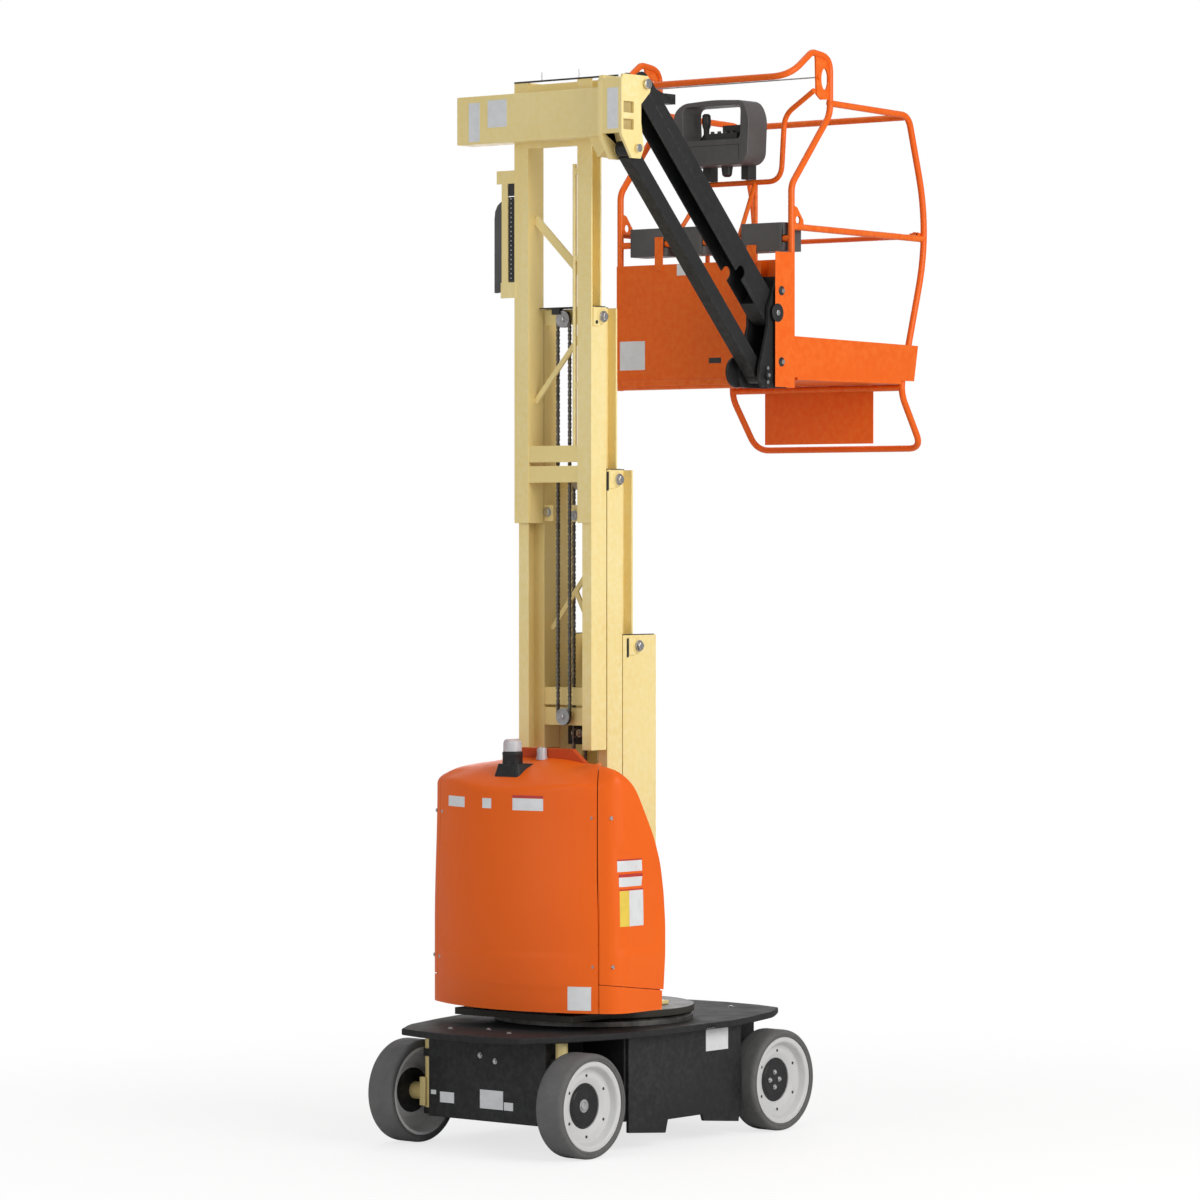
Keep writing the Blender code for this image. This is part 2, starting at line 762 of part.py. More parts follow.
def arm(name, pin, width_y, depth, radius):
    """A box arm between its two eyes, in the jib's plane. Returns it before its bores are cut, and its axes."""
    start = Vector((pin[0], 0, pin[1]))
    end = start + Vector((LINK[0], 0, LINK[1]))
    along = (end - start).normalized()
    across = Vector((-along.z, 0, along.x))
    first = start + along * 0.02
    last = end - along * 0.02
    reach = across * depth / 2
    outline = [first + reach, last + reach, last - reach, first - reach]
    half = width_y / 2
    made = prism(name, [(p.x, p.z) for p in outline], "y", JIB_Y - half, JIB_Y + half, BLACK)
    for point in (start, end):
        made = union(made, disc("eye", (point.x, JIB_Y, point.z), radius, half, "y", steps=20))
    return made, start, end, along, across


def bored(made, *points):
    for point in points:
        made = minus(made, disc("bore", (point.x, JIB_Y, point.z), PIN_R + 0.0008, 0.2, "y", steps=14))
    return made


def jib_link():
    made, start, end, _, _ = arm("jib_link", LOWER_PIN, 0.056, 0.062, 0.032)
    return bored(made, start, end)


def jib_arm():
    """The upper arm: a channel open below, which the lower arm and its outer pin enter as the jib is raised."""
    made, start, end, along, across = arm("jib_arm", UPPER_PIN, 0.076, 0.110, 0.050)

    def at(origin, u, v):
        point = origin + along * u + across * v
        return (point.x, point.z)

    open_side = [at(start, -0.06, -0.07), at(start, -0.06, 0.050), at(end, -0.10, 0.050), at(end, -0.10, -0.07)]
    made = minus(made, prism("open_side", open_side, "y", JIB_Y - ARM_ROOM, JIB_Y + ARM_ROOM))
    notch = [at(end, -0.277, -0.07), at(end, -0.277, -0.036), at(end, -0.226, -0.036), at(end, -0.226, -0.07)]
    made = minus(made, prism("notch", notch, "y", JIB_Y - 0.1, JIB_Y + 0.1))
    x, z = at(end, -0.2515, -0.036)
    made = minus(made, disc("notch_top", (x, JIB_Y, z), 0.0255, 0.1, "y", steps=16))
    return bored(made, start, end)


def jib_carrier():
    """The black bracket that the arms' outer ends hold level, bolted to the platform."""
    half = JIB_PLATE_GAP / 2
    ax, az = UPPER_PIN[0] + LINK[0], UPPER_PIN[1] + LINK[1]
    bx, bz = LOWER_PIN[0] + LINK[0], LOWER_PIN[1] + LINK[1]
    outline = [
        (bx - 0.045, bz + 0.030),
        (bx - 0.050, bz - 0.020),
        (bx - 0.030, bz - 0.048),
        (0.638, bz - 0.050),
        (0.638, az + 0.150),
        (0.585, az + 0.150),
        (ax - 0.045, az + 0.020),
        (ax - 0.045, az - 0.050),
    ]
    near = prism("jib_carrier", outline, "y", JIB_Y - half - 0.012, JIB_Y - half, BLACK)
    far = prism("far", outline, "y", JIB_Y + half, JIB_Y + half + 0.012)
    back = box("back", (0.618, 0.638), (JIB_Y - half - 0.006, JIB_Y + half + 0.006), (bz - 0.049, az + 0.149))
    made = union(near, far, back)
    for x, z in ((ax, az), (bx, bz)):
        pin = disc("pin", (x, JIB_Y, z), PIN_R, half + 0.024, "y", steps=14)
        made = union(made, pin)
    return made


# Platform
HOOP = [
    (CAGE_X0, -CAGE_Y, 2.990),
    (CAGE_X0, -CAGE_Y, 3.805),
    (0.968, -CAGE_Y, 4.105),
    (0.968, -CAGE_Y, 4.335),
    (0.845, -CAGE_Y, 4.350),
    (0.700, -CAGE_Y, 4.245),
]
HOOP_R = [0, 0.08, 0.10, 0.08, 0.05, 0.14]
SIDE_LOOP = [
    (0.960, -CAGE_Y, 4.150),
    (1.510, -CAGE_Y, 4.135),
    (1.655, -CAGE_Y, 3.660),
    (1.455, -CAGE_Y, 2.990),
    (1.620, -CAGE_Y + 0.010, 2.755),
]
SIDE_LOOP_R = [0, 0.07, 0.90, 0.12, 0.07]


def both_ends(points, radii):
    """A path on the right side carried on through its mirror image on the left."""
    other = [(x, -y, z) for x, y, z in reversed(points)]
    return points + other, radii + list(reversed(radii))


def cage_frame():
    """Every welded tube of the platform: hoops, rails, posts, the step loop and the console's rail."""
    points, radii = both_ends(HOOP, HOOP_R)
    frame = tube("cage_frame", rounded(points, radii, 5), RAIL_R, ORANGE, 8)
    points, radii = both_ends(SIDE_LOOP, SIDE_LOOP_R)
    pieces = [tube("loop", rounded(points, radii, 6), RAIL_R, None, 8)]
    pieces.append(rod("top", (1.500, -CAGE_Y, 4.128), (1.500, CAGE_Y, 4.128), RAIL_R, None, 8))
    pieces.append(rod("back", (CAGE_X0, -CAGE_Y, 3.590), (CAGE_X0, CAGE_Y, 3.590), RAIL_R, None, 8))
    for x in (CAGE_X0, CAGE_X1):
        pieces.append(rod("sill", (x, -CAGE_Y, SILL_Z), (x, CAGE_Y, SILL_Z), RAIL_R, None, 8))
    for side in (-1, 1):
        y = side * CAGE_Y
        pieces.append(rod("mid", (CAGE_X0, y, 3.637), (1.618, y, 3.627), RAIL_R, None, 8))
        apex = (0.887, side * 0.125, 3.838)
        for foot in ((CAGE_X0, side * 0.1725, 3.590), (0.887, side * 0.125, PAN_TOP_Z + 0.0045)):
            pieces.append(rod("strut", apex, foot, 0.0095, None, 8))
        lug = [(0.715, 3.625), (0.790, 3.625), (0.785, 3.665), (0.745, 3.715), (0.715, 3.725)]
        plate = prism("lug", lug, "y", y - 0.004, y + 0.004)
        pieces.append(minus(plate, disc("eye", (0.750, y, 3.665), 0.016, 0.1, "y", steps=12)))
        horn = [(0.960, 4.165), (0.960, 4.335), (0.850, 4.345), (0.858, 4.170), (0.900, 4.160)]
        plate = prism("horn", horn, "y", y - 0.004, y + 0.004)
        pieces.append(minus(plate, disc("slot", (0.918, y, 4.245), 0.020, 0.1, "y", steps=12)))
    cradle = [
        (0.862, -CAGE_Y, 4.195),
        (0.887, -0.275, 4.105),
        (0.887, -0.257, 3.838),
    ]
    points, radii = both_ends(cradle, [0, 0.09, 0.07])
    pieces.append(tube("cradle", rounded(points, radii, 5), 0.0110, None, 8))
    return union(frame, *pieces, *bar_seats())


def cage_pan():
    """The floor and the turned-up kick plates, folded from one sheet."""
    t = 0.004
    y1 = CAGE_Y + RAIL_R + 0.001
    x0, x1 = CAGE_X0 - 0.012, CAGE_X1 + 0.014
    floor = box("cage_pan", (x0, x1), (-0.430, 0.430), (CAGE_FLOOR_Z - 0.0115, PAN_TOP_Z), ORANGE)
    side = [(0.700, 3.028), (1.528, 3.032), (1.556, 3.180), (0.700, 3.195)]
    pieces = []
    for s in (-1, 1):
        lo, hi = sorted((s * y1, s * (y1 + t)))
        pieces.append(prism("kick", side, "y", lo, hi))
        lo, hi = sorted((s * 0.425, s * (y1 + t)))
        pieces.append(box("lip", (0.729, 1.440), (lo, hi), (CAGE_FLOOR_Z - 0.0115, PAN_TOP_Z + 0.002)))
        pieces.append(disc("pad", (0.887, s * 0.125, PAN_TOP_Z), 0.018, 0.004, "z", steps=12))
    pieces.append(box("toe", (x1 - 0.004, x1), (-0.428, 0.428), (CAGE_FLOOR_Z, 3.180)))
    return union(floor, *pieces)


def back_panel():
    """The panel between the platform and the jib, with a turned lip along its foot."""
    x1 = CAGE_X0 - RAIL_R - 0.001
    outline = [(-0.455, 3.005), (0.425, 3.005), (0.450, 3.025), (0.450, 3.505), (-0.455, 3.505)]
    panel = prism("back_panel", outline, "x", x1 - 0.006, x1, ORANGE)
    return panel


def cage_bracket():
    """The flange that the carrier is bolted to: a plate across and its turned side."""
    x1 = CAGE_X0 - RAIL_R - 0.0075
    half = JIB_PLATE_GAP / 2
    y0 = JIB_Y - half - 0.016
    plate = box("cage_bracket", (0.6385, x1), (y0, y0 + 0.008), (2.985, 3.530), ORANGE)
    back = box("back", (x1 - 0.010, x1), (y0 + 0.002, -0.300), (2.985, 3.500))
    far = box("far", (0.6385, x1), (-0.345, -0.337), (2.985, 3.500))
    return union(plate, back, far)


def control_console():
    """The upper control box: a base, a hand guard over it, and the feet on its rail."""
    x0, x1 = 0.735, 0.925
    outline = [
        (-0.165, 3.905),
        (0.165, 3.905),
        (0.190, 3.930),
        (0.200, 4.120),
        (0.180, 4.175),
        (0.120, 4.190),
        (-0.120, 4.190),
        (-0.180, 4.175),
        (-0.200, 4.120),
        (-0.190, 3.930),
    ]
    body = prism("control_console", outline, "x", x0, x1, PLASTIC)
    body = minus(body, box("window", (0.6, 1.1), (-0.135, 0.135), (4.055, 4.150)))
    top = prism("slope", [(x0 - 0.1, 4.3), (x1 - 0.02, 4.3), (x0 - 0.1, 4.02)], "y", -0.3, 0.3)
    body = minus(body, top)
    for y in (-0.10, 0.0, 0.10):
        foot = box("foot", (0.868, 0.905), (y - 0.018, y + 0.018), (3.8505, 3.91))
        body = union(body, foot)
    return body


def tool_tray(name, y0, y1):
    """A moulded tray inside the panel's top."""
    x0 = CAGE_X0 + RAIL_R + GAP
    tray = box(name, (x0, x0 + 0.085), (y0, y1), (3.540, 3.655), PLASTIC)
    pocket = box("pocket", (x0 + 0.006, x0 + 0.079), (y0 + 0.006, y1 - 0.006), (3.560, 3.70))
    return minus(tray, pocket)


def step_panel():
    x0 = CAGE_X1 + RAIL_R + GAP
    return box("step_panel", (x0, x0 + 0.004), (-0.285, 0.285), (2.775, SILL_Z + 0.006), ORANGE)


def entry_bar():
    """The bar across the entry, which lifts about its pin on the right post."""
    x, y, z = BAR_PIVOT
    bar = rod("entry_bar", (x, y, z), (x, 0.422, z), 0.011, ORANGE, 8)
    eye = disc("eye", BAR_PIVOT, 0.018, 0.014, "x", steps=14)
    return minus(union(bar, eye), disc("bore", BAR_PIVOT, 0.0068, 0.1, "x", steps=14))


def bar_seats():
    """The fork and pin that the entry bar lifts about, and the hook that its free end rests in."""
    x, y, z = BAR_PIVOT
    web = box("web", (x - 0.030, x + 0.030), (-0.4370, y - 0.0235), (z - 0.012, z + 0.012))
    cheeks = [box("cheek", (x + s - 0.003, x + s + 0.003), (-0.432, y + 0.012), (z - 0.012, z + 0.012))
              for s in (-0.027, 0.027)]
    pin = disc("pin", (x, y, z), 0.006, 0.045, "x", steps=10)
    hook = box("hook", (x - 0.014, x + 0.014), (0.390, 0.438), (z - 0.024, z - 0.0125))
    return [union(web, *cheeks, pin), hook]


def build():
    clear_scene()
    for maker in (chassis_frame, deck_plate, slew_ring, turntable_plate):
        maker()
    for word, side in (("left", 1), ("right", -1)):
        kingpin_fork("kingpin_fork_" + word, side)
        knuckle("knuckle_" + word, side)
        drive_motor("drive_motor_" + word, side)
        mast_cheek("mast_cheek_" + word, side)
        hood_side("hood_side_" + word, side)
        hood_skirt("hood_skirt_" + word, side)
        for end, x, driven in (("steer", -WHEEL_X, False), ("drive", WHEEL_X, True)):
            tail = "_" + end + "_" + word
            tyre("tyre" + tail, x, side)
            rim("rim" + tail, x, side)
            hub("hub" + tail, x, side, driven)
    right = side_skirt(-1)
    mirrored(right, "side_skirt_left")
    beacon(hood_rear())

    fixed_section()
    third = mast_section("mast_section_3", STAGE_3_Z, LIP_X[3], [(1.02, 1.09), (1.11, 1.18), (2.575, 2.645)])
    union(third, box("arm", (-0.040, 0.118), (-0.035, 0.035), (2.5895, 2.640)))
    second = mast_section("mast_section_2", STAGE_2_Z, LIP_X[2], [(1.64, 1.71), (1.72, 1.79), (3.225, 3.285)])
    union(second, brace(-0.115, 0.124, 2.020, -0.124, 2.325), brace(-0.115, 0.0, 2.170, -0.124, 1.935))
    first = mast_section(
        "mast_section_1",
        STAGE_1_Z,
        LIP_X[2] - PITCH,
        [(2.600, 2.665), (2.680, 2.745), (4.10, 4.17)],
        has_channel=False,
    )
    union(first, brace(-0.218, 0.124, 3.645, -0.124, 3.411, 0.034), brace(-0.218, 0.124, 2.919, -0.124, 3.195))
    union(first, hose_guide())
    hose_guard()
    lift_chain("lift_chain_upper", 2, 1.675, 3.245)
    lift_chain("lift_chain_lower", 3, 1.055, 2.605)
    lift_cylinder()
    jib_beam()
    jib_head()
    jib_arm()
    jib_link()
    jib_carrier()
    cage_frame()
    cage_pan()
    back_panel()
    cage_bracket()
    control_console()
    tool_tray("tool_tray_right", -0.420, -0.190)
    tool_tray("tool_tray_left", 0.190, 0.390)
    tool_tray("tool_tray_centre", -0.010, 0.140)
    step_panel()
    entry_bar()
    carry()


def carry():
    """Puts each moving body's pieces under an empty on its joint's axis, and moves the origin to the middle."""
    pieces = {obj.name: obj for obj in bpy.data.objects if obj.type == "MESH"}
    for obj in pieces.values():
        obj.data.shade_smooth()
        obj.data.set_sharp_from_angle(angle=math.radians(32))

    def ride(name, origin, names, parent=None):
        return group(name, origin, [pieces[piece] for piece in names], parent)

    for word, side in (("left", 1), ("right", -1)):
        steering = ride("steering_" + word, (-WHEEL_X, side * KINGPIN_Y, 0.290), ["knuckle_" + word])
        for end, x, parent in (("steer", -WHEEL_X, steering), ("drive", WHEEL_X, None)):
            tail = "_" + end + "_" + word
            ride("wheel" + tail, (x, side * WHEEL_Y, TYRE_R), ["tyre" + tail, "rim" + tail, "hub" + tail], parent)
    hood = [name for name in pieces if name.startswith(("hood_", "beacon_", "mast_cheek_"))]
    turntable = ride("turntable", (0, 0, PLATE_Z0), ["turntable_plate", "mast_section_4", "lift_barrel"] + hood)
    stage_3 = ride("stage_3", (0, 0, STAGE_3_Z), ["mast_section_3", "lift_rod", "lift_chain_lower"], turntable)
    stage_2 = ride("stage_2", (0, 0, STAGE_2_Z), ["mast_section_2", "lift_chain_upper"], stage_3)
    top = ["mast_section_1", "hose_guard", "jib_beam", "jib_head"]
    stage_1 = ride("stage_1", (0, 0, STAGE_1_Z), top, stage_2)
    upper = ride("jib_upper_pivot", (UPPER_PIN[0], JIB_Y, UPPER_PIN[1]), ["jib_arm"], stage_1)
    ride("jib_lower_pivot", (LOWER_PIN[0], JIB_Y, LOWER_PIN[1]), ["jib_link"], stage_1)
    cage = ["jib_carrier", "cage_bracket", "cage_frame", "cage_pan", "back_panel", "step_panel"]
    cage += ["control_console", "tool_tray_left", "tool_tray_right", "tool_tray_centre"]
    outer = (UPPER_PIN[0] + LINK[0], JIB_Y, UPPER_PIN[1] + LINK[1])
    platform = ride("platform_pivot", outer, cage, upper)
    ride("entry_bar_pivot", BAR_PIVOT, ["entry_bar"], platform)
    for obj in bpy.data.objects:
        if obj.parent is None:
            obj.location.x -= SLEW_TO_MIDDLE


build()
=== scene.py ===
"""The looks of the vertical mast lift: finishes, moulded pieces, fittings, light and camera."""

import json
from math import asin, atan2, cos, hypot, pi, radians, sin, sqrt, tan

import bmesh
import bpy
from mathutils import Matrix, Vector

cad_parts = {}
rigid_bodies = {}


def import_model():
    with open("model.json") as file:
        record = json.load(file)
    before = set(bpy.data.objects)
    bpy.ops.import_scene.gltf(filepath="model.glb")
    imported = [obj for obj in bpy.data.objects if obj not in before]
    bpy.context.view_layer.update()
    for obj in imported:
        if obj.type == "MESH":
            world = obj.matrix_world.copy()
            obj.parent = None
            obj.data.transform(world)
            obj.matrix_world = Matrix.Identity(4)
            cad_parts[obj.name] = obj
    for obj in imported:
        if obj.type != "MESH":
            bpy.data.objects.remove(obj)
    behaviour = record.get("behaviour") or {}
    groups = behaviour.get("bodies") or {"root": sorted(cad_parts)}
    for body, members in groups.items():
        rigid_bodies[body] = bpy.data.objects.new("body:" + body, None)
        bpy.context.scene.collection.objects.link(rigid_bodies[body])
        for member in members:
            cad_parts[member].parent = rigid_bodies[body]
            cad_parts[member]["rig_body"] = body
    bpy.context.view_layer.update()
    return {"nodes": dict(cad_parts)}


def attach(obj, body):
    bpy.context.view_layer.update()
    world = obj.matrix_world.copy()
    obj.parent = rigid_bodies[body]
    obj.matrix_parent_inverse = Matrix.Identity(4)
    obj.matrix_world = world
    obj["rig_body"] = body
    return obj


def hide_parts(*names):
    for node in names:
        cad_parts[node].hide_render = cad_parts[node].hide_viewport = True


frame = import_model()
NODES = frame["nodes"]

# Pieces are drawn about the slewing axis, which lies this far from the frame's origin.
SLEW = Vector((-0.3995, 0.0, 0.0))

# Sizes shared with the solids
TYRE_R = 0.203
TYRE_W = 0.127
WHEEL_X = 0.6
WHEEL_Y = 0.4315
RIM_R = 0.174
HUB_R = 0.088
HOLE_RING_R = 0.118
CAGE_X0 = 0.71
CAGE_X1 = 1.468
CAGE_Y = 0.445
PAN_TOP_Z = 3.034
SILL_Z = 3.0045
RAIL_R = 0.0135
ROD_L = 1.439
STAY_R = 0.0095
BAR_PIVOT = (1.62, -0.405, 3.64)


# Finishes
class Tree:
    """The nodes of a material or of the world, with short ways to make and feed them."""

    def __init__(self, owner):
        owner.use_nodes = True
        self.tree = owner.node_tree
        self.tree.nodes.clear()

    def node(self, kind, **settings):
        made = self.tree.nodes.new("ShaderNode" + kind)
        for key, value in settings.items():
            setattr(made, key, value)
        return made

    def feed(self, socket, value):
        if isinstance(value, bpy.types.NodeSocket):
            self.tree.links.new(value, socket)
        elif isinstance(value, tuple):
            socket.default_value = (*value, 1.0)
        elif value is not None:
            socket.default_value = value

    def fed(self, kind, *values, **settings):
        """The first output of a new node whose first inputs get these values."""
        made = self.node(kind, **settings)
        for socket, value in zip(made.inputs, values):
            self.feed(socket, value)
        return made.outputs[0]

    def band(self, value, low, high, to_low=0.0, to_high=1.0, **settings):
        return self.fed("MapRange", value, low, high, to_low, to_high, clamp=True, **settings)


class Net(Tree):
    """The nodes of one finish."""

    def __init__(self, name):
        self.material = bpy.data.materials.new(name)
        super().__init__(self.material)
        self.shader = self.node("BsdfPrincipled")
        self.feed(self.node("OutputMaterial").inputs[0], self.shader.outputs[0])
        self.space = self.node("TexCoord")

    def noise(self, scale, detail=3.0, rough=0.5, stretch=None):
        where = self.space.outputs["Object"]
        if stretch:
            made = self.node("Mapping")
            self.feed(made.inputs["Vector"], where)
            made.inputs["Scale"].default_value = stretch
            where = made.outputs[0]
        made = self.node("TexNoise")
        for key, value in (("Vector", where), ("Scale", scale), ("Detail", detail), ("Roughness", rough)):
            self.feed(made.inputs[key], value)
        return made.outputs[0]

    def patches(self, scale, detail, rough, low, high, to_low=0.0, to_high=1.0):
        """A noise, spread from low to high."""
        return self.band(self.noise(scale, detail, rough), low, high, to_low, to_high)

    def times(self, first, second):
        return self.fed("Math", first, second, operation="MULTIPLY")

    def mix(self, amount, first, second):
        made = self.node("Mix", data_type="RGBA")
        for index, value in ((0, amount), (6, first), (7, second)):
            self.feed(made.inputs[index], value)
        return made.outputs[2]

    def over(self, tone, colour, share, first, second):
        """The tone with a share of another colour, where both masks let it through."""
        return self.mix(self.times(self.times(first, second), share), tone, colour)

    def upward(self, low):
        """A mask of what faces up at rest."""
        facing = self.node("SeparateXYZ")
        self.feed(facing.inputs[0], self.space.outputs["Normal"])
        return self.band(facing.outputs[2], low, 1.0)

    def edges(self):
        return self.band(self.node("NewGeometry").outputs["Pointiness"], 0.515, 0.6)

    def bump(self, height, strength, distance, under=None):
        made = self.node("Bump")
        made.inputs["Strength"].default_value = strength
        made.inputs["Distance"].default_value = distance
        self.feed(made.inputs["Height"], height)
        self.feed(made.inputs["Normal"], under)
        return made.outputs[0]

    def finish(self, colour, rough, normal, **fixed):
        for key, value in (("Base Color", colour), ("Roughness", rough), ("Normal", normal)):
            self.feed(self.shader.inputs[key], value)
        for key, value in fixed.items():
            self.shader.inputs[key.replace("_", " ")].default_value = value
        return self.material


def paint(name, colour, deep, pale, rough=(0.3, 0.42), gloss_level=0.32, streak=0.0):
    """Sprayed paint: slow drifts of tone, orange peel, a breath of dust on top, and rubbed edges."""
    net = Net(name)
    tone = net.mix(net.patches(1.7, 3.0, 0.5, 0.36, 0.68), colour, deep)
    if streak:
        lines = net.noise(1.0, 5.0, 0.62, stretch=(46.0, 46.0, 0.9))
        tone = net.mix(net.band(lines, 0.46, 0.74, 0.0, streak), tone, deep)
    tone = net.over(tone, pale, 0.12, net.upward(0.6), net.patches(14.0, 5.0, 0.7, 0.42, 0.78))
    tone = net.over(tone, pale, 0.4, net.edges(), net.patches(38.0, 3.0, 0.6, 0.38, 0.66))
    gloss = net.patches(9.0, 4.0, 0.6, 0.3, 0.72, *rough)
    sag = net.bump(net.noise(7.0, 2.0), 0.06, 0.003)
    peel = net.bump(net.noise(420.0, 2.0), 0.08, 0.0005, sag)
    return net.finish(tone, gloss, peel, Specular_IOR_Level=gloss_level)


def shaded_paint(name, colour, grime_and_painted_shade, reach):
    """Paint darkened towards the rear as painted shade, which clears towards the front between two values
    of x.
    """
    net = Net(name)
    where = net.fed("SeparateXYZ", net.space.outputs["Object"])
    along = net.fed("Math", where, net.patches(9.0, 5.0, 0.65, 0.25, 0.75, -0.05, 0.05), operation="ADD")
    # Towards the rear the paint turns to the dark colour, which is painted shade.
    tone = net.mix(net.band(along, reach[0] + SLEW.x, reach[1] + SLEW.x), grime_and_painted_shade, colour)
    gloss = net.patches(12.0, 4.0, 0.6, 0.3, 0.7, 0.36, 0.52)
    peel = net.bump(net.noise(420.0, 2.0), 0.08, 0.0005)
    return net.finish(tone, gloss, peel, Specular_IOR_Level=0.32)


def powder(name, colour, pale, rough=(0.4, 0.56), dusting=0.1):
    """Black powder coat: a fine pebbled skin that greys where it is handled or dusty."""
    net = Net(name)
    tone = net.mix(net.patches(3.0, 4.0, 0.55, 0.42, 0.76), colour, pale)
    dust = net.patches(18.0, 5.0, 0.7, 0.4, 0.76)
    tone = net.over(tone, (0.2, 0.19, 0.18), dusting, net.upward(0.55), dust)
    tone = net.over(tone, (0.13, 0.13, 0.13), 0.3, net.edges(), net.patches(44.0, 3.0, 0.6, 0.4, 0.68))
    gloss = net.patches(12.0, 4.0, 0.6, 0.3, 0.7, *rough)
    skin = net.bump(net.noise(650.0, 3.0, 0.6), 0.18, 0.0005)
    return net.finish(tone, gloss, skin, Specular_IOR_Level=0.3)


def rubber(name, colour, pale):
    net = Net(name)
    tone = net.mix(net.patches(7.0, 6.0, 0.66, 0.38, 0.72), colour, pale)
    scuffs = net.noise(1.0, 5.0, 0.7, stretch=(60.0, 9.0, 60.0))
    tone = net.mix(net.band(scuffs, 0.56, 0.8, 0.0, 0.3), tone, (0.2, 0.19, 0.18))
    gloss = net.patches(22.0, 4.0, 0.6, 0.3, 0.7, 0.62, 0.86)
    return net.finish(tone, gloss, net.bump(net.noise(300.0, 4.0, 0.7), 0.3, 0.001))


def moulded(name, colour, pale, rough=(0.46, 0.62), grain=520.0):
    """Grained plastic."""
    net = Net(name)
    tone = net.mix(net.patches(6.0, 4.0, 0.6, 0.35, 0.7), colour, pale)
    tone = net.mix(net.times(net.edges(), 0.3), tone, pale)
    gloss = net.patches(16.0, 3.0, 0.6, 0.3, 0.7, *rough)
    leather = net.node("TexVoronoi")
    net.feed(leather.inputs["Vector"], net.space.outputs["Object"])
    net.feed(leather.inputs["Scale"], grain)
    return net.finish(tone, gloss, net.bump(leather.outputs["Distance"], 0.16, 0.0008))


def metal(name, colour, dark, rough=(0.24, 0.4), stretch=(6.0, 6.0, 90.0), grime_and_painted_shade=0.5):
    """Turned or drawn steel with oil-dark patches."""
    net = Net(name)
    lines = net.noise(6.0, 4.0, 0.6, stretch=stretch)
    tone = net.mix(net.patches(24.0, 5.0, 0.65, 0.42, 0.7, 0.0, grime_and_painted_shade), colour, dark)
    gloss = net.band(lines, 0.3, 0.7, *rough)
    return net.finish(tone, gloss, net.bump(lines, 0.12, 0.0006), Metallic=1.0)


def clear_plastic(name, colour):
    net = Net(name)
    gloss = net.patches(30.0, 2.0, 0.5, 0.3, 0.7, 0.08, 0.16)
    ribs = net.node("TexWave", wave_type="BANDS", bands_direction="Z")
    net.feed(ribs.inputs["Vector"], net.space.outputs["Object"])
    net.feed(ribs.inputs["Scale"], 60.0)
    tone = net.mix(net.patches(20.0, 3.0, 0.5, 0.4, 0.7, 0.0, 0.4), colour, (0.66, 0.66, 0.68))
    skin = net.bump(ribs.outputs[0], 0.25, 0.001)
    return net.finish(tone, gloss, skin, Transmission_Weight=0.55, IOR=1.46)


def plate_stock(name, colour, worn):
    """A blank label: satin film with slightly soiled patches."""
    net = Net(name)
    tone = net.mix(net.patches(26.0, 5.0, 0.65, 0.4, 0.72, 0.0, 0.5), colour, worn)
    gloss = net.patches(40.0, 3.0, 0.6, 0.3, 0.7, 0.34, 0.52)
    return net.finish(tone, gloss, net.bump(net.noise(120.0, 2.0), 0.08, 0.0004))


PAINTED = (0.9, 0.735, 0.335)
JET = (0.0135, 0.0135, 0.0145)
ORANGE = paint("orange paint finish", (0.86, 0.128, 0.003), (0.82, 0.116, 0.003), (0.93, 0.25, 0.04))
HOOD_TONES = ((0.87, 0.132, 0.003), (0.835, 0.12, 0.003), (0.94, 0.26, 0.04))
HOOD = paint("hood plastic finish", *HOOD_TONES, (0.36, 0.5), 0.28)
CREAM = paint("cream paint finish", PAINTED, (0.86, 0.672, 0.27), (0.94, 0.86, 0.56), streak=0.45)
BLACK = powder("black paint finish", JET, (0.019, 0.019, 0.02))
SHINY_BLACK = powder("black satin finish", (0.012, 0.012, 0.013), (0.018, 0.018, 0.019), (0.28, 0.42))
TYRE = rubber("grey tyre finish", (0.128, 0.127, 0.126), (0.095, 0.094, 0.093))
RIM = paint("rim paint finish", (0.64, 0.64, 0.64), (0.6, 0.6, 0.6), (0.76, 0.76, 0.76), (0.34, 0.48))
PLASTIC = moulded("dark plastic finish", (0.072, 0.068, 0.069), (0.098, 0.094, 0.094))
KNOB = moulded("black plastic finish", (0.016, 0.016, 0.016), (0.028, 0.028, 0.028), (0.34, 0.48), 900.0)
STEEL = metal("bare steel finish", (0.6, 0.6, 0.61), (0.3, 0.28, 0.26))
OILED = ((0.56, 0.55, 0.56), (0.26, 0.23, 0.2), (0.26, 0.44), (40.0, 6.0, 40.0), 0.6)
ROLLER = metal("roller steel finish", *OILED)
GREASED = ((0.22, 0.21, 0.2), (0.07, 0.065, 0.06), (0.38, 0.56), (60.0, 60.0, 60.0), 0.7)
CHAIN = metal("chain steel finish", *GREASED)
LENS = clear_plastic("clear lens finish", (0.86, 0.87, 0.9))
LABEL = plate_stock("blank label film", (0.74, 0.75, 0.76), (0.6, 0.6, 0.6))
YELLOW = plate_stock("yellow label film", (0.83, 0.6, 0.07), (0.66, 0.47, 0.06))
RED = plate_stock("red label film", (0.5, 0.03, 0.025), (0.38, 0.03, 0.025))
# All of the turntable's plate lies behind the zone where the painted shade clears, so all of it is painted
# dark as shade.
PLATE = shaded_paint("turntable paint with painted shade", PAINTED, (0.03, 0.027, 0.02), (0.5, 0.8))
DECK = powder("deck finish", JET, (0.022, 0.022, 0.022), (0.62, 0.76), 0.06)
# The liner behind the jib head's windows is cream painted darker, as painted shade.
CREAM_TONES_IN_PAINTED_SHADE = ((0.47, 0.36, 0.15), (0.43, 0.32, 0.13), (0.52, 0.42, 0.2))
LINER_PAINTED_SHADE = paint("cream with painted shade", *CREAM_TONES_IN_PAINTED_SHADE, (0.42, 0.6))
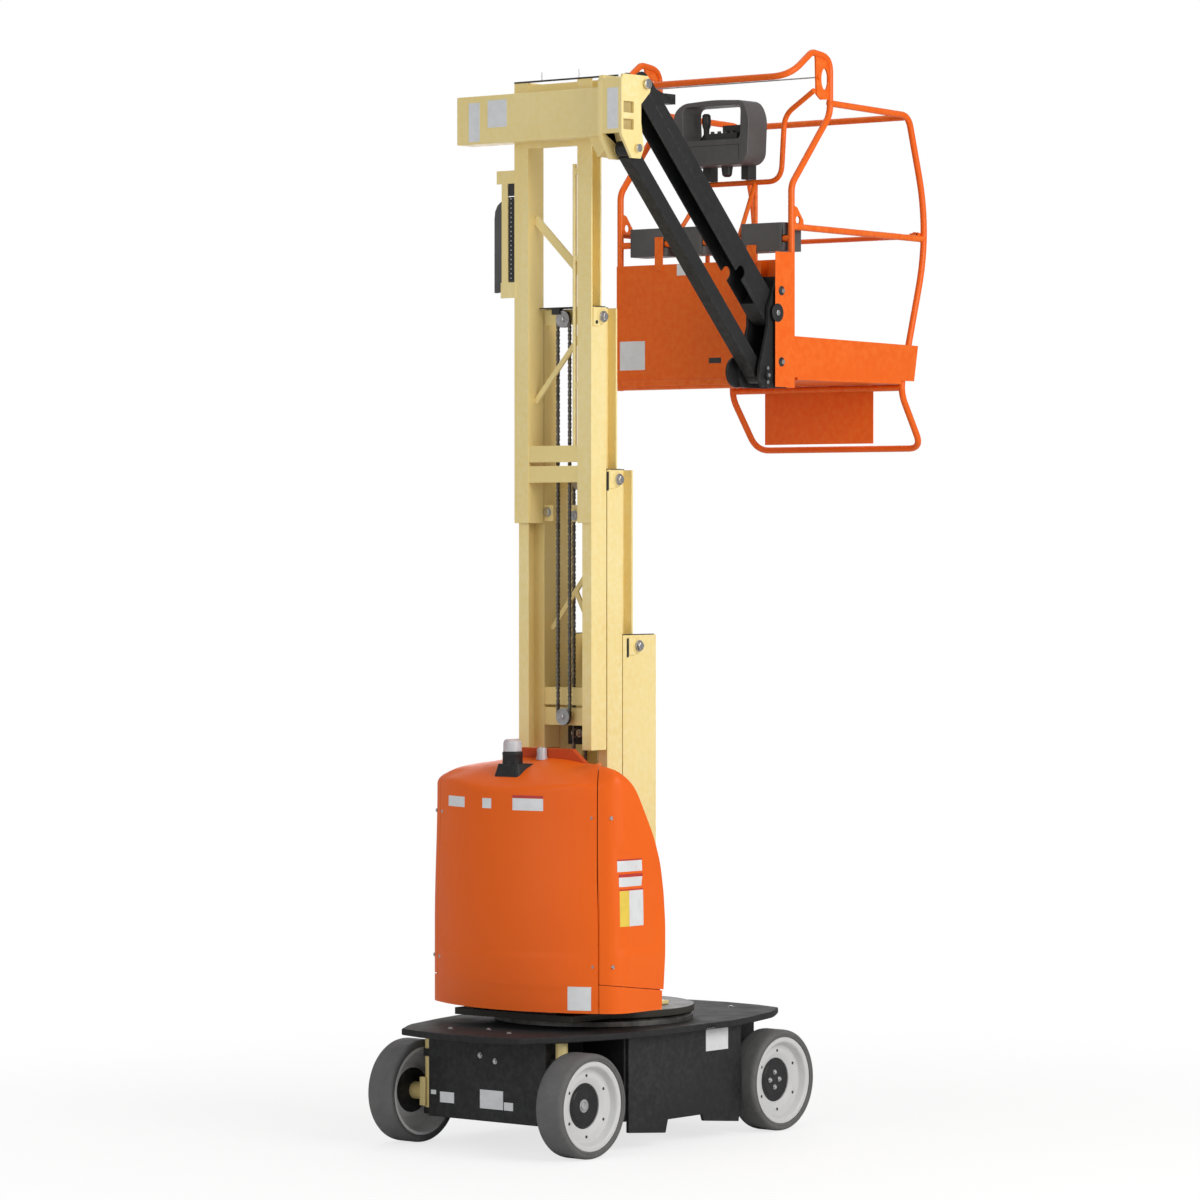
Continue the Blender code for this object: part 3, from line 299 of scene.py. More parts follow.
# The darker orange of the hood's collar and of the band behind the cover's joint is painted shade.
ORANGE_TONES_IN_PAINTED_SHADE = ((0.56, 0.066, 0.004), (0.5, 0.056, 0.003), (0.62, 0.09, 0.01))
HOOD_ORANGE_PAINTED_SHADE = paint("hood orange with painted shade", *ORANGE_TONES_IN_PAINTED_SHADE, (0.42, 0.6))

SLOTS = {
    "orange_paint": ORANGE,
    "hood_plastic": HOOD,
    "cream_paint": CREAM,
    "black_paint": BLACK,
    "grey_tyre": TYRE,
    "rim_paint": RIM,
    "dark_plastic": PLASTIC,
    "bare_steel": STEEL,
    "clear_lens": LENS,
}
SLOT_OF = {finish.name: slot for slot, finish in SLOTS.items()}
SLOT_OF.update({SHINY_BLACK.name: "black_paint", KNOB.name: "dark_plastic", ROLLER.name: "bare_steel"})
SLOT_OF.update({CHAIN.name: "bare_steel", HOOD_ORANGE_PAINTED_SHADE.name: "hood_plastic", PLATE.name: "cream_paint"})
SLOT_OF.update({DECK.name: "black_paint", LINER_PAINTED_SHADE.name: "cream_paint"})

AXES = {"x": (1, 2, 0), "y": (0, 2, 1), "z": (0, 1, 2)}


# Shapes, each added to a bmesh
def built(*shapes):
    """A bmesh of shapes, each given as the function that adds it and that function's values."""
    bm = bmesh.new()
    for shape, *values in shapes:
        shape(bm, *values)
    return bm


def box(bm, x, y, z):
    size = Matrix.Diagonal((abs(x[1] - x[0]), abs(y[1] - y[0]), abs(z[1] - z[0]), 1))
    centre = Matrix.Translation((sum(x) / 2, sum(y) / 2, sum(z) / 2))
    bmesh.ops.create_cube(bm, size=1, matrix=centre @ size)


def pair(bm, x, y, z):
    """A box and its mirror image across the middle plane."""
    box(bm, x, (-y[1], -y[0]), z)
    box(bm, x, y, z)


def across_axis(axis, p, q, level):
    """The point with p and q across an axis, at a level along it."""
    corner = [0.0, 0.0, 0.0]
    for index, value in zip(AXES[axis], (p, q, level)):
        corner[index] = value
    return corner


def bridge(bm, ring, other):
    """Faces between two rings of vertices. A ring of one vertex is a pole."""
    count = max(len(ring), len(other))
    for i in range(count if count > 1 else 0):
        j = (i + 1) % count
        corners = (ring[i % len(ring)], ring[j % len(ring)], other[j % len(other)], other[i % len(other)])
        bm.faces.new(list(dict.fromkeys(corners)))


def prism(bm, outline, axis, low, high):
    lower = [bm.verts.new(across_axis(axis, p, q, low)) for p, q in outline]
    upper = [bm.verts.new(across_axis(axis, p, q, high)) for p, q in outline]
    bm.faces.new(lower)
    bm.faces.new(upper)
    bridge(bm, lower, upper)


def turned(bm, profile, centre, axis, steps=64, mirror=1):
    """A closed profile of (radius, height) turned about an axis. Radius 0 joins up."""
    a, b, along = AXES[axis]
    rings = []
    for radius, height in profile:
        ring = []
        for i in range(1 if radius == 0 else steps):
            turn = 2 * pi * i / steps
            corner = list(centre)
            corner[a] += radius * cos(turn)
            corner[b] += radius * sin(turn)
            corner[along] += height * mirror
            ring.append(bm.verts.new(corner))
        rings.append(ring)
    for ring, other in zip(rings, rings[1:] + rings[:1]):
        bridge(bm, ring, other)


def spun(profile, centre, axis, steps=64, mirror=1):
    """A bmesh of one turned profile."""
    return built((turned, profile, centre, axis, steps, mirror))


def stud(low, radius, high, *rim):
    """The profile of a short cylinder. rim holds what follows its upper edge, up to its top."""
    return [(0, low), (radius, low), (radius, high), *rim, (0, rim[-1][1] if rim else high)]


def disc(bm, centre, radius, half, axis, steps=32):
    turned(bm, stud(-half, radius, half), centre, axis, steps)


def rounded(points, radii, steps=8):
    """The polyline with a curve of each corner's own radius in place of the corner."""
    pts = [Vector(p) for p in points]
    path = [pts[0]]
    for i in range(1, len(pts) - 1):
        corner = pts[i]
        radius = radii[i]
        if radius == 0:
            path.append(corner)
            continue
        back = pts[i - 1] - corner
        ahead = pts[i + 1] - corner
        reach = min(radius / tan(back.angle(ahead) / 2), 0.49 * back.length, 0.49 * ahead.length)
        start = corner + back.normalized() * reach
        end = corner + ahead.normalized() * reach
        for k in range(steps + 1):
            t = k / steps
            path.append(start * (1 - t) ** 2 + corner * 2 * t * (1 - t) + end * t * t)
    path.append(pts[-1])
    return path


def tube(bm, path, radius, sides=20):
    pts = [Vector(p) for p in path]
    rings = []
    before = (pts[1] - pts[0]).normalized()
    normal = before.orthogonal().normalized()
    for i, point in enumerate(pts):
        after = (pts[i + 1] - point).normalized() if i < len(pts) - 1 else before
        tangent = (before + after).normalized()
        normal = (normal - tangent * normal.dot(tangent)).normalized()
        side = tangent.cross(normal)
        ring = []
        for k in range(sides):
            turn = 2 * pi * (k + 0.5) / sides
            ring.append(bm.verts.new(point + radius * (cos(turn) * normal + sin(turn) * side)))
        rings.append(ring)
        before = after
    for here, there in zip(rings, rings[1:]):
        bridge(bm, here, there)
    bm.faces.new(rings[0])
    bm.faces.new(rings[-1])


def bolt(bm, centre, radius, height, axis):
    """A bolt's head on its washer, standing on centre towards +axis, or -axis if height is below 0."""
    way = 1 if height > 0 else -1
    tall = abs(height)
    low = tall * 0.22
    turned(bm, stud(0, radius * 1.35, low), centre, axis, 24, way)
    turned(bm, stud(low, radius, tall * 0.88, (radius * 0.86, tall)), centre, axis, 6, way)


def eye_plate(bm, outline, hole, reach, axis, low, high, steps=40):
    """A plate with an oval hole that every corner can see. reach is the hole's half size each way."""
    turns = {round(2 * pi * k / steps, 5) for k in range(steps)}
    turns |= {round(atan2(q - hole[1], p - hole[0]) % (2 * pi), 5) for p, q in outline}
    rows = []
    for turn in sorted(turns):
        way = Vector((cos(turn), sin(turn)))
        inner = 1 / hypot(way.x / reach[0], way.y / reach[1])
        outer = 0.0
        for first, second in zip(outline, outline[1:] + outline[:1]):
            start = Vector(first) - Vector(hole)
            side = Vector(second) - Vector(first)
            slope = way.x * side.y - way.y * side.x
            if abs(slope) < 1e-9:
                continue
            far = (start.x * side.y - start.y * side.x) / slope
            share = (start.x * way.y - start.y * way.x) / slope
            if far > 0 and -1e-4 <= share <= 1 + 1e-4:
                outer = max(outer, far)
        row = []
        for radius, level in ((inner, low), (outer, low), (outer, high), (inner, high)):
            corner = across_axis(axis, hole[0] + way.x * radius, hole[1] + way.y * radius, level)
            row.append(bm.verts.new(corner))
        rows.append(row)
    for row, other in zip(rows, rows[1:] + rows[:1]):
        bridge(bm, row, other)


def corner_arc(middle, radius, start, steps=8):
    """Points of a quarter circle that starts at so many right angles."""
    turns = [pi / 2 * (start + k / steps) for k in range(steps + 1)]
    return [(middle[0] + radius * cos(turn), middle[1] + radius * sin(turn)) for turn in turns]


def rounded_box(bm, x, y, z, corner):
    """An upright box with round corners in plan."""
    outline = []
    for start, (right, back) in enumerate(((1, 1), (0, 1), (0, 0), (1, 0))):
        middle = (x[1] - corner if right else x[0] + corner, y[1] - corner if back else y[0] + corner)
        outline += corner_arc(middle, corner, start)
    prism(bm, outline, "z", *z)


def soft_outline(corners, radii, steps):
    """The closed outline with every corner rounded by its own radius."""
    points = [(0, p, q) for p, q in corners]
    ring = rounded([points[-1]] + points + [points[0]], [0] + radii + [0], steps)
    return [(point.y, point.z) for point in ring[1:-1]]


# Pieces
def place(name, bm, finish, body, bevel=0.0, segments=2, angle=32.0, replaces=()):
    """Makes a piece of the scene from a bmesh drawn about the slewing axis, and puts it on its body."""
    bmesh.ops.translate(bm, verts=bm.verts, vec=SLEW)
    settle(name, bm, finish, body, bevel, segments, angle, replaces)


def put(name, data):
    """A new object of the scene."""
    obj = bpy.data.objects.new(name, data)
    bpy.context.scene.collection.objects.link(obj)
    return obj


def put_mesh(name, bm):
    """A new object made of a bmesh, which is used up."""
    mesh = bpy.data.meshes.new(name)
    bm.to_mesh(mesh)
    bm.free()
    return put(name, mesh)


def settle(name, bm, finish, body, bevel, segments, angle, replaces=()):
    """Makes a piece. A name that ends in _skin replaces the solid of the same name."""
    bmesh.ops.recalc_face_normals(bm, faces=bm.faces)
    obj = put_mesh(name, bm)
    obj.data.materials.append(finish)
    obj.data.shade_smooth()
    obj.data.set_sharp_from_angle(angle=radians(angle))
    if bevel:
        round_off = obj.modifiers.new("edges", "BEVEL")
        round_off.width = bevel
        round_off.segments = segments
        round_off.limit_method = "ANGLE"
        round_off.angle_limit = radians(angle)
        round_off.harden_normals = True
    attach(obj, body)
    if name.endswith("_skin"):
        replaces = (name.removesuffix("_skin"),)
    if replaces:
        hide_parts(*replaces)


def dress(node, finish, bevel=0.0015, segments=2):
    """The solid's own shape with its edges rounded, in place of the plain solid."""
    bm = bmesh.new()
    bm.from_mesh(NODES[node].data)
    bmesh.ops.remove_doubles(bm, verts=bm.verts, dist=1e-5)
    bmesh.ops.dissolve_limit(bm, angle_limit=radians(0.4), verts=bm.verts, edges=bm.edges)
    settle(node + "_skin", bm, finish, NODES[node]["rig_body"], bevel, segments, 32.0)


# Wheels
def make_wheel(end, word):
    x = -WHEEL_X if end == "steer" else WHEEL_X
    side = 1 if word == "left" else -1
    tail = "_" + end + "_" + word
    body = "wheel" + tail
    centre = (x, side * WHEEL_Y, TYRE_R)
    half = TYRE_W / 2
    flank = [(RIM_R + 0.0005, 0.059), (0.1765, 0.0612), (0.1815, 0.0622), (0.1825, 0.0612)]
    flank += [(0.184, 0.0612), (0.185, 0.0626), (0.188, 0.0632), (0.1925, half - 0.001)]
    flank += [(0.197, half - 0.0042), (0.2002, half - 0.009), (0.202, half - 0.015)]
    flank += [(0.203, half - 0.024), (0.203, 0.0008), (0.2024, 0.0)]
    tyre = flank + [(r, -h) for r, h in reversed(flank[:-1])]

    out = half - 0.006
    rim = [(HUB_R + 0.0005, out - 0.052), (HUB_R + 0.0005, out - 0.041), (0.092, out - 0.0395)]
    rim += [(0.104, out - 0.033), (0.112, out - 0.0305), (0.124, out - 0.03), (0.136, out - 0.032)]
    rim += [(0.142, out - 0.03), (0.146, out - 0.022), (0.15, out - 0.008), (0.153, out - 0.003)]
    rim += [(0.157, out - 0.0006), (0.162, out), (0.1715, out), (RIM_R - 0.0002, out - 0.002)]
    rim += [(RIM_R - 0.0002, -out), (0.162, -out), (0.15, out - 0.05), (0.11, out - 0.042)]

    face = out - 0.044
    hub = [(0, face - 0.022), (0.05, face - 0.022), (HUB_R, face - 0.012), (HUB_R, face - 0.0025)]
    hub += [(HUB_R - 0.0025, face), (0.07, face), (0.068, face + 0.0015), (0, face + 0.0015)]
    rows = (("tyre", tyre, TYRE, 112), ("rim", rim, RIM, 96), ("hub", hub, SHINY_BLACK, 72))
    for piece, profile, finish, steps in rows:
        place(piece + tail + "_skin", spun(profile, centre, "y", steps, side), finish, body)

    top = side * (WHEEL_Y + face + 0.001)
    bolts = [(bolt, (x, top, TYRE_R), 0.019, side * 0.008, "y")]
    if end == "drive":
        spots = [(x + dx, top, TYRE_R + dz) for dx, dz in ((0, 0.03), (0.03, 0), (0, -0.03), (-0.03, 0))]
        bolts = [(bolt, spot, 0.0078, side * 0.0075, "y") for spot in spots]
    place("hub_bolts" + tail, built(*bolts), STEEL, body, 0.0006)
    bm = bmesh.new()
    level = side * (WHEEL_Y + out - 0.0306)
    for k in range(6):
        turn = pi * (k + 0.5) / 3
        spot = (x + HOLE_RING_R * cos(turn), level, TYRE_R + HOLE_RING_R * sin(turn))
        turned(bm, stud(-0.002, 0.0062, 0.0009), spot, "y", 20, side)
    place("rim_holes" + tail, bm, KNOB, body)


for wheel_end in ("steer", "drive"):
    for wheel_word in ("left", "right"):
        make_wheel(wheel_end, wheel_word)


# Chassis and turntable
def make_slew_ring():
    profile = [(0.352, 0.0005), (0.394, 0.0005), (0.395, 0.0015), (0.395, 0.0195), (0.392, 0.0225)]
    profile += [(0.382, 0.0318), (0.38, 0.0325), (0.352, 0.0325)]
    place("slew_ring_skin", spun(profile, (0, 0, 0.47), "z", 128), CHAIN, "chassis")


make_slew_ring()
for piece in ("chassis_frame", "side_skirt_left", "side_skirt_right"):
    dress(piece, BLACK, 0.003, 3)
dress("deck_plate", DECK, 0.006, 4)
for word in ("left", "right"):
    dress("kingpin_fork_" + word, BLACK, 0.002)
    dress("knuckle_" + word, CREAM, 0.0015)
    dress("drive_motor_" + word, SHINY_BLACK, 0.002)
    dress("mast_cheek_" + word, CREAM, 0.002)
dress("turntable_plate", PLATE, 0.002)


# Hood
HOOD_Z0 = 0.545
HOOD_SIDE_Y = 0.485
HOOD_CORNER = 0.1
HOOD_ARC = 0.81
HOOD_ARC_X = 0.225
HOOD_POLE_X = -0.3
HOOD_CLOSE_X = 0.02
HOOD_FOLD = 0.02
SEAM_X = -0.473
SEAM_Y = 0.285
SEAM_TURN = 0.405
SEAM_GAP = 0.004
SKIRT_TOP = (0.658, 0.622)
SKIRT_GAP = 0.003
GUARD_ROOM = (-0.285, 0.325)
HOOD_SPAN = (0.3, 1.8)
COVER_FRONT_X = -0.161
SKIRT_FRONT_X = -0.17
SEAM_FRONT_X = -0.3
JOINT_Y = 0.335
# How much smaller the dark band is than the shell, along and across
JOINT_SHRINK = (0.97, 0.985)
SIDE_EDGE = [(-0.166, HOOD_Z0), (-0.16, 0.636), (-0.15, 0.76), (-0.15, 0.875), (-0.158, 1.0)]
SIDE_EDGE += [(-0.174, 1.115), (-0.208, 1.215), (-0.255, 1.303), (-0.308, 1.395), (-0.368, 1.464)]
SIDE_EDGE += [(-0.44, 1.52)]
HOOD_REACH = asin((HOOD_SIDE_Y - HOOD_CORNER) / (HOOD_ARC - HOOD_CORNER))
HOOD_MIDDLE_X = HOOD_ARC_X - (HOOD_ARC - HOOD_CORNER) * cos(HOOD_REACH)


def ease(value, low, high):
    t = min(1.0, max(0.0, (value - low) / (high - low)))
    return t * t * (3 - 2 * t)


def hood_outline():
    """The hood's plan, closed across its front: a shallow arc behind, round corners and straight sides."""
    points = []
    for k in range(41):
        turn = HOOD_REACH * k / 40
        points.append((HOOD_ARC_X - HOOD_ARC * cos(turn), HOOD_ARC * sin(turn)))
    middle_y = HOOD_SIDE_Y - HOOD_CORNER
    for k in range(1, 15):
        turn = HOOD_REACH + (pi / 2 - HOOD_REACH) * k / 14
        x = HOOD_MIDDLE_X - HOOD_CORNER * cos(turn)
        points.append((x, middle_y + HOOD_CORNER * sin(turn)))
    for k in range(1, 31):
        points.append((HOOD_MIDDLE_X + (HOOD_CLOSE_X - HOOD_MIDDLE_X) * k / 30, HOOD_SIDE_Y))
    for k in range(1, 11):
        points.append((HOOD_CLOSE_X, HOOD_SIDE_Y * (1 - k / 10)))
    return points + [(x, -y) for x, y in reversed(points[1:-1])]


def hood_top(x, y):
    """The height of the top: crowned across, and falling towards the rear."""
    across = 0.607 * abs(y) ** 2.3
    back = max(0.0, -0.3 - x)
    along = 0.1 * back + 1.25 * back ** 2
    shoulder = (0.056 if y < 0 else 0.02) * ease(x, -0.478, -0.4) * ease(abs(y), 0.22, 0.4)
    return 1.521 - (across ** 1.6 + along ** 1.6) ** (1 / 1.6) + shoulder


def hood_inset(x, y, z):
    """How far the wall stands in: it leans in at the top, with a pressed field and a foot band."""
    lean = 0.012 * ease(z, 0.85, 1.4)
    side = ease(abs(y), 0.27, 0.43)
    over = 1.215 - 0.22 * ease(x, SEAM_X, -0.15)
    inside = ease(x, -0.44, -0.395) * (1 - ease(x, -0.215, -0.165))
    field = 0.006 * side * ease(z, 0.765, 0.8) * (1 - ease(z, over - 0.035, over)) * inside
    trace = 0.0022 * ease(z, 0.755, 0.775) * (1 - ease(z, 0.775, 0.92)) * (1 - ease(abs(y), 0.34, 0.41))
    foot = 0.0022 * (1 - ease(z, 0.63, 0.645)) * (1 - ease(x, SEAM_X - 0.02, SEAM_X))
    return lean + field + trace + foot


def hood_form():
    """The whole hood, as a grid of upright lines up the wall and over the fold to the top's pole."""
    bm = bmesh.new()
    columns = []
    for x, y in hood_outline():
        way = Vector((x - HOOD_POLE_X, y))
        full = way.length
        way.normalize()
        fold = HOOD_FOLD + 0.045 * ease(x, -0.44, -0.37)

        def at(radius, z=None):
            """The point this far from the pole. Without a height it lies on the top."""
            px, py = HOOD_POLE_X + way.x * radius, way.y * radius
            return (px, py, hood_top(px, py) if z is None else z)

        brow = at(full - 0.012)[2]
        sill = brow - fold
        levels = [HOOD_Z0 + (sill - HOOD_Z0) * k / 84 for k in range(85)]
        rows = [at(full - hood_inset(x, y, z), z) for z in levels]
        foot = full - hood_inset(x, y, sill)
        start, corner, end = (foot, sill), (foot, brow), (foot - fold, at(foot - fold)[2])
        for t in (k / 8 for k in range(1, 9)):
            mix = [(1 - t) ** 2 * start[i] + 2 * t * (1 - t) * corner[i] + t * t * end[i] for i in (0, 1)]
            rows.append(at(*mix))
        rows += [at(end[0] * (1 - k / 20)) for k in range(1, 20)]
        columns.append([bm.verts.new(row) for row in rows])
    pole = bm.verts.new((HOOD_POLE_X, 0, hood_top(HOOD_POLE_X, 0)))
    for column, other in zip(columns, columns[1:] + columns[:1]):
        for k in range(len(column) - 1):
            bm.faces.new((column[k], other[k], other[k + 1], column[k + 1]))
        bm.faces.new((column[-1], other[-1], pole))
    bm.faces.new([column[0] for column in columns])
    return bm


def cut(bm, cutter, operation="DIFFERENCE"):
    """The bmesh after an exact Boolean with another, both of them used up."""
    for form in (bm, cutter):
        bmesh.ops.recalc_face_normals(form, faces=form.faces)
    base, tool = put_mesh("base", bm), put_mesh("cutter", cutter)
    step = base.modifiers.new("cut", "BOOLEAN")
    step.operation = operation
    step.solver = "EXACT"
    step.object = tool
    bpy.context.view_layer.update()
    shape = base.evaluated_get(bpy.context.evaluated_depsgraph_get())
    made = bmesh.new()
    made.from_mesh(shape.to_mesh())
    shape.to_mesh_clear()
    for obj in (base, tool):
        mesh = obj.data
        bpy.data.objects.remove(obj)
        bpy.data.meshes.remove(mesh)
    bmesh.ops.remove_doubles(made, verts=made.verts, dist=2e-5)
    return made


def make_cover(word, side):
    """A side cover of the hood, the skirt below its sloping foot, and the dark band behind their joint, in
    the darker orange of painted shade.
    """
    corners = [(x, 0, z) for x, z in SIDE_EDGE]
    edge = rounded(corners, [0] + [0.4] * (len(corners) - 2) + [0], 6)
    back = SEAM_X + SEAM_GAP
    across = sorted((side * (SEAM_Y + SEAM_GAP), side * 0.7))
    high, low = SKIRT_TOP
    cover = [(back, high), (COVER_FRONT_X, low)]
    cover += [(p.x, p.z) for p in edge if p.z > low + 0.022 and p.x > back] + [(back, 1.6)]
    skirt = [(back, high - SKIRT_GAP), (back, 0.4)]
    skirt += [(SKIRT_FRONT_X - 0.002, 0.4), (SKIRT_FRONT_X, low - SKIRT_GAP)]
    front = SEAM_FRONT_X + 0.002
    beside = [(back, SEAM_TURN + 0.002), (front, SEAM_Y + SEAM_GAP), (front, 0.1), (-0.8, 0.1)]
    beside = [(x, side * y) for x, y in beside + [(-0.8, SEAM_TURN + 0.002)]]
    for name, outline in (("hood_side_", cover), ("hood_skirt_", skirt)):
        piece = cut(hood_form(), built((prism, outline, "y", *across)), "INTERSECT")
        piece = cut(piece, built((prism, beside, "z", *HOOD_SPAN)))
        room = built((box, (GUARD_ROOM[0], 0.2), sorted((0.0, side * GUARD_ROOM[1])), HOOD_SPAN))
        place(name + word + "_skin", cut(piece, room), HOOD, "turntable", angle=24.0)
    start = back + 0.004
    slab = [(start, high - 0.012), (SKIRT_FRONT_X, low - 0.012), (SKIRT_FRONT_X, low + 0.01)]
    slab = built((prism, slab + [(start, high + 0.01)], "y", *sorted((side * JOINT_Y, side * 0.7))))
    band = cut(hood_form(), slab, "INTERSECT")
    for vert in band.verts:
        vert.co.x = HOOD_POLE_X + (vert.co.x - HOOD_POLE_X) * JOINT_SHRINK[0]
        vert.co.y *= JOINT_SHRINK[1]
    place("hood_joint_" + word, band, HOOD_ORANGE_PAINTED_SHADE, "turntable", angle=24.0)


def make_hood():
    ahead = [(SEAM_FRONT_X, -SEAM_Y), (SEAM_FRONT_X, SEAM_Y), (SEAM_X, SEAM_TURN), (SEAM_X, 0.7)]
    ahead += [(0.3, 0.7), (0.3, -0.7), (SEAM_X, -0.7), (SEAM_X, -SEAM_TURN)]
    rear = cut(hood_form(), built((prism, ahead, "z", *HOOD_SPAN)))
    place("hood_rear_skin", rear, HOOD, "turntable", angle=24.0)
    make_cover("left", 1)
    make_cover("right", -1)
    # The collar is coloured in the darker orange of painted shade.
    outline = [(-0.24, 1.492), (0.15, 1.492), (0.105, 1.556), (-0.16, 1.556)]
    place("hood_collar", built((prism, outline, "x", -0.328, -0.304)), HOOD_ORANGE_PAINTED_SHADE, "turntable", 0.004, 3)


make_hood()


# Beacon, latch and the blank plates and screws of the hood
def make_beacon():
    x, y = -0.452, 0.04
    profile = [(0, 1.449), (0.04, 1.449), (0.04, 1.505), (0.0395, 1.53), (0.0405, 1.532)]
    profile += [(0.0405, 1.5395), (0.0395, 1.5425), (0.0375, 1.545), (0, 1.545)]
    place("beacon_base_skin", spun(profile, (x, y, 0), "z"), BLACK, "turntable")
    foot = built((rounded_box, (x - 0.054, x + 0.054), (y - 0.074, y + 0.054), (1.4495, 1.498), 0.012))
    for vert in foot.verts:
        if vert.co.z < 1.49:
            vert.co.z = hood_top(vert.co.x, vert.co.y) - 0.002
        else:
            vert.co.x = x + (vert.co.x - x) * 0.8
            vert.co.y = y - 0.01 + (vert.co.y - y + 0.01) * 0.8
    place("beacon_foot", foot, BLACK, "turntable", 0.003, 3)
    profile = [(0, 1.5458), (0.0355, 1.5458), (0.037, 1.5472), (0.0366, 1.576), (0.035, 1.584)]
    profile += [(0.031, 1.5905), (0.024, 1.595), (0.013, 1.597), (0, 1.5974)]
    place("beacon_lens_skin", spun(profile, (x, y, 0), "z", 72), LENS, "turntable")
    profile = [(0, 1.546), (0.017, 1.546), (0.017, 1.56), (0.01, 1.572), (0, 1.574)]
    place("beacon_lamp", spun(profile, (x, y, 0), "z", 24), RIM, "turntable")


def make_latch():
    x, y = -0.345, -0.02
    spot = (x, y, hood_top(x, y) - 0.003)
    profile = [(0, 0), (0.023, 0), (0.023, 0.01), (0.02, 0.016), (0.02, 0.04)]
    profile += [(0.017, 0.047), (0.008, 0.05), (0, 0.05)]
    place("hood_knob", spun(profile, spot, "z", 48), LENS, "turntable")
    profile = [(0, 0.001), (0.01, 0.001), (0.01, 0.034), (0, 0.036)]
    place("hood_knob_core", spun(profile, spot, "z", 24), STEEL, "turntable")


def on_rear(y, z, stand=0.0006):
    """The point of the hood's rear wall at this y and z."""
    x = HOOD_ARC_X - sqrt(HOOD_ARC ** 2 - y ** 2)
    out = Vector((x - HOOD_POLE_X, y)).normalized()
    far = Vector((x, y)) - out * (hood_inset(x, y, z) - stand)
    return Vector((far.x, far.y, z))


def on_side(x, z, side=-1, stand=0.0006):
    """The point of the hood's side wall or its round corner at this x and z."""
    back = max(0.0, HOOD_MIDDLE_X - x)
    y = HOOD_SIDE_Y - HOOD_CORNER + sqrt(HOOD_CORNER ** 2 - back ** 2)
    inward = Vector((x - HOOD_POLE_X, y)).normalized() * (hood_inset(x, y, z) - stand)
    return Vector((x - inward.x, side * (y - inward.y), z))


def film(bm, rows, thick=0.0007):
    """A label that follows a curved wall: rows of points, given a little thickness towards the wall."""
    outer, inner = [], []
    for row in rows:
        outer.append([bm.verts.new(p) for p in row])
        ways = [Vector((p.x - HOOD_POLE_X, p.y, 0)).normalized() for p in row]
        inner.append([bm.verts.new(p - way * thick) for p, way in zip(row, ways)])
    tall, wide = len(rows), len(rows[0])
    for layer in (outer, inner):
        for i in range(tall - 1):
            for k in range(wide - 1):
                bm.faces.new((layer[i][k], layer[i][k + 1], layer[i + 1][k + 1], layer[i + 1][k]))
    ring = [(0, k) for k in range(wide)] + [(i, wide - 1) for i in range(1, tall)]
    ring += [(tall - 1, k) for k in reversed(range(wide - 1))]
    ring += [(i, 0) for i in reversed(range(1, tall - 1))]
    for (i, k), (m, n) in zip(ring, ring[1:] + ring[:1]):
        bm.faces.new((outer[i][k], outer[m][n], inner[m][n], inner[i][k]))


def film_rows(at, a, b, z0, z1, wide=10, tall=6):
    levels = [z0 + (z1 - z0) * i / tall for i in range(tall + 1)]
    return [[at(a + (b - a) * k / wide, z) for k in range(wide + 1)] for z in levels]


# Blank labels on the hood's rear: name, y from, y to, z from, z to, finish
REAR_FILMS = (
    ("rear_a", 0.335, 0.214, 1.325, 1.366, LABEL),
    ("rear_b", 0.1, 0.049, 1.327, 1.366, LABEL),
    ("rear_c", -0.064, -0.206, 1.324, 1.371, LABEL),
    ("rear_c_head", -0.064, -0.206, 1.372, 1.3825, RED),
    ("rear_d", -0.303, -0.388, 0.556, 0.648, LABEL),
)
# Blank labels on the hood's right side: name, x from, x to, z from, z to, finish
SIDE_FILMS = (
    ("side_a", -0.422, -0.288, 1.092, 1.134, LABEL),
    ("side_a_head", -0.422, -0.288, 1.135, 1.14, RED),
    ("side_b", -0.416, -0.286, 1.034, 1.07, LABEL),
    ("side_b_head", -0.416, -0.286, 1.071, 1.083, RED),
    ("side_c", -0.364, -0.278, 0.88, 1.018, LABEL),
    ("side_c_band", -0.414, -0.365, 0.88, 1.018, YELLOW),
    ("side_c_head", -0.414, -0.278, 1.0195, 1.024, RED),
)


def make_hood_fittings():
    for at, films in ((on_rear, REAR_FILMS), (on_side, SIDE_FILMS)):
        for name, a, b, z0, z1, finish in films:
            place("label_" + name, built((film, film_rows(at, a, b, z0, z1))), finish, "turntable")
    screw = [(0, -0.006), (0.0085, -0.006), (0.0085, 0.001), (0.006, 0.002), (0, 0.0022)]
    rivet = [(0, -0.004), (0.0062, -0.004), (0.0062, 0.0012), (0, 0.0015)]
    screws, rivets = bmesh.new(), bmesh.new()
    for side in (-1, 1):
        for z in (0.726, 1.3):
            turned(screws, screw, on_side(SEAM_X + 0.036, z, side, 0.0), "y", 24, side)
            turned(rivets, rivet, on_rear(side * 0.392, z, 0.0), "x", 20, -1)
    place("hood_screws", screws, STEEL, "turntable")
    place("hood_rivets", rivets, ROLLER, "turntable")


make_beacon()
make_latch()
make_hood_fittings()


# Mast
for number in (1, 2, 3, 4):
    dress("mast_section_%d" % number, CREAM, 0.0016)


def make_cylinder():
    profile = [(0, 0), (0.039, 0), (0.04, 0.001), (0.04, 1.6), (0.0385, 1.603), (0.0385, 1.618)]
    profile += [(0.037, 1.62), (0.03, 1.62), (0.03, 0.05), (0, 0.05)]
    place("lift_barrel_skin", spun(profile, (0.085, 0, 0.2725), "z"), BLACK, "turntable")
    profile = [(0, 0), (0.0245, 0), (0.025, 0.0005), (0.025, ROD_L - 0.0005), (0.0245, ROD_L), (0, ROD_L)]
    place("lift_rod_skin", spun(profile, (0.085, 0, 1.15), "z"), STEEL, "stage_3")


make_cylinder()


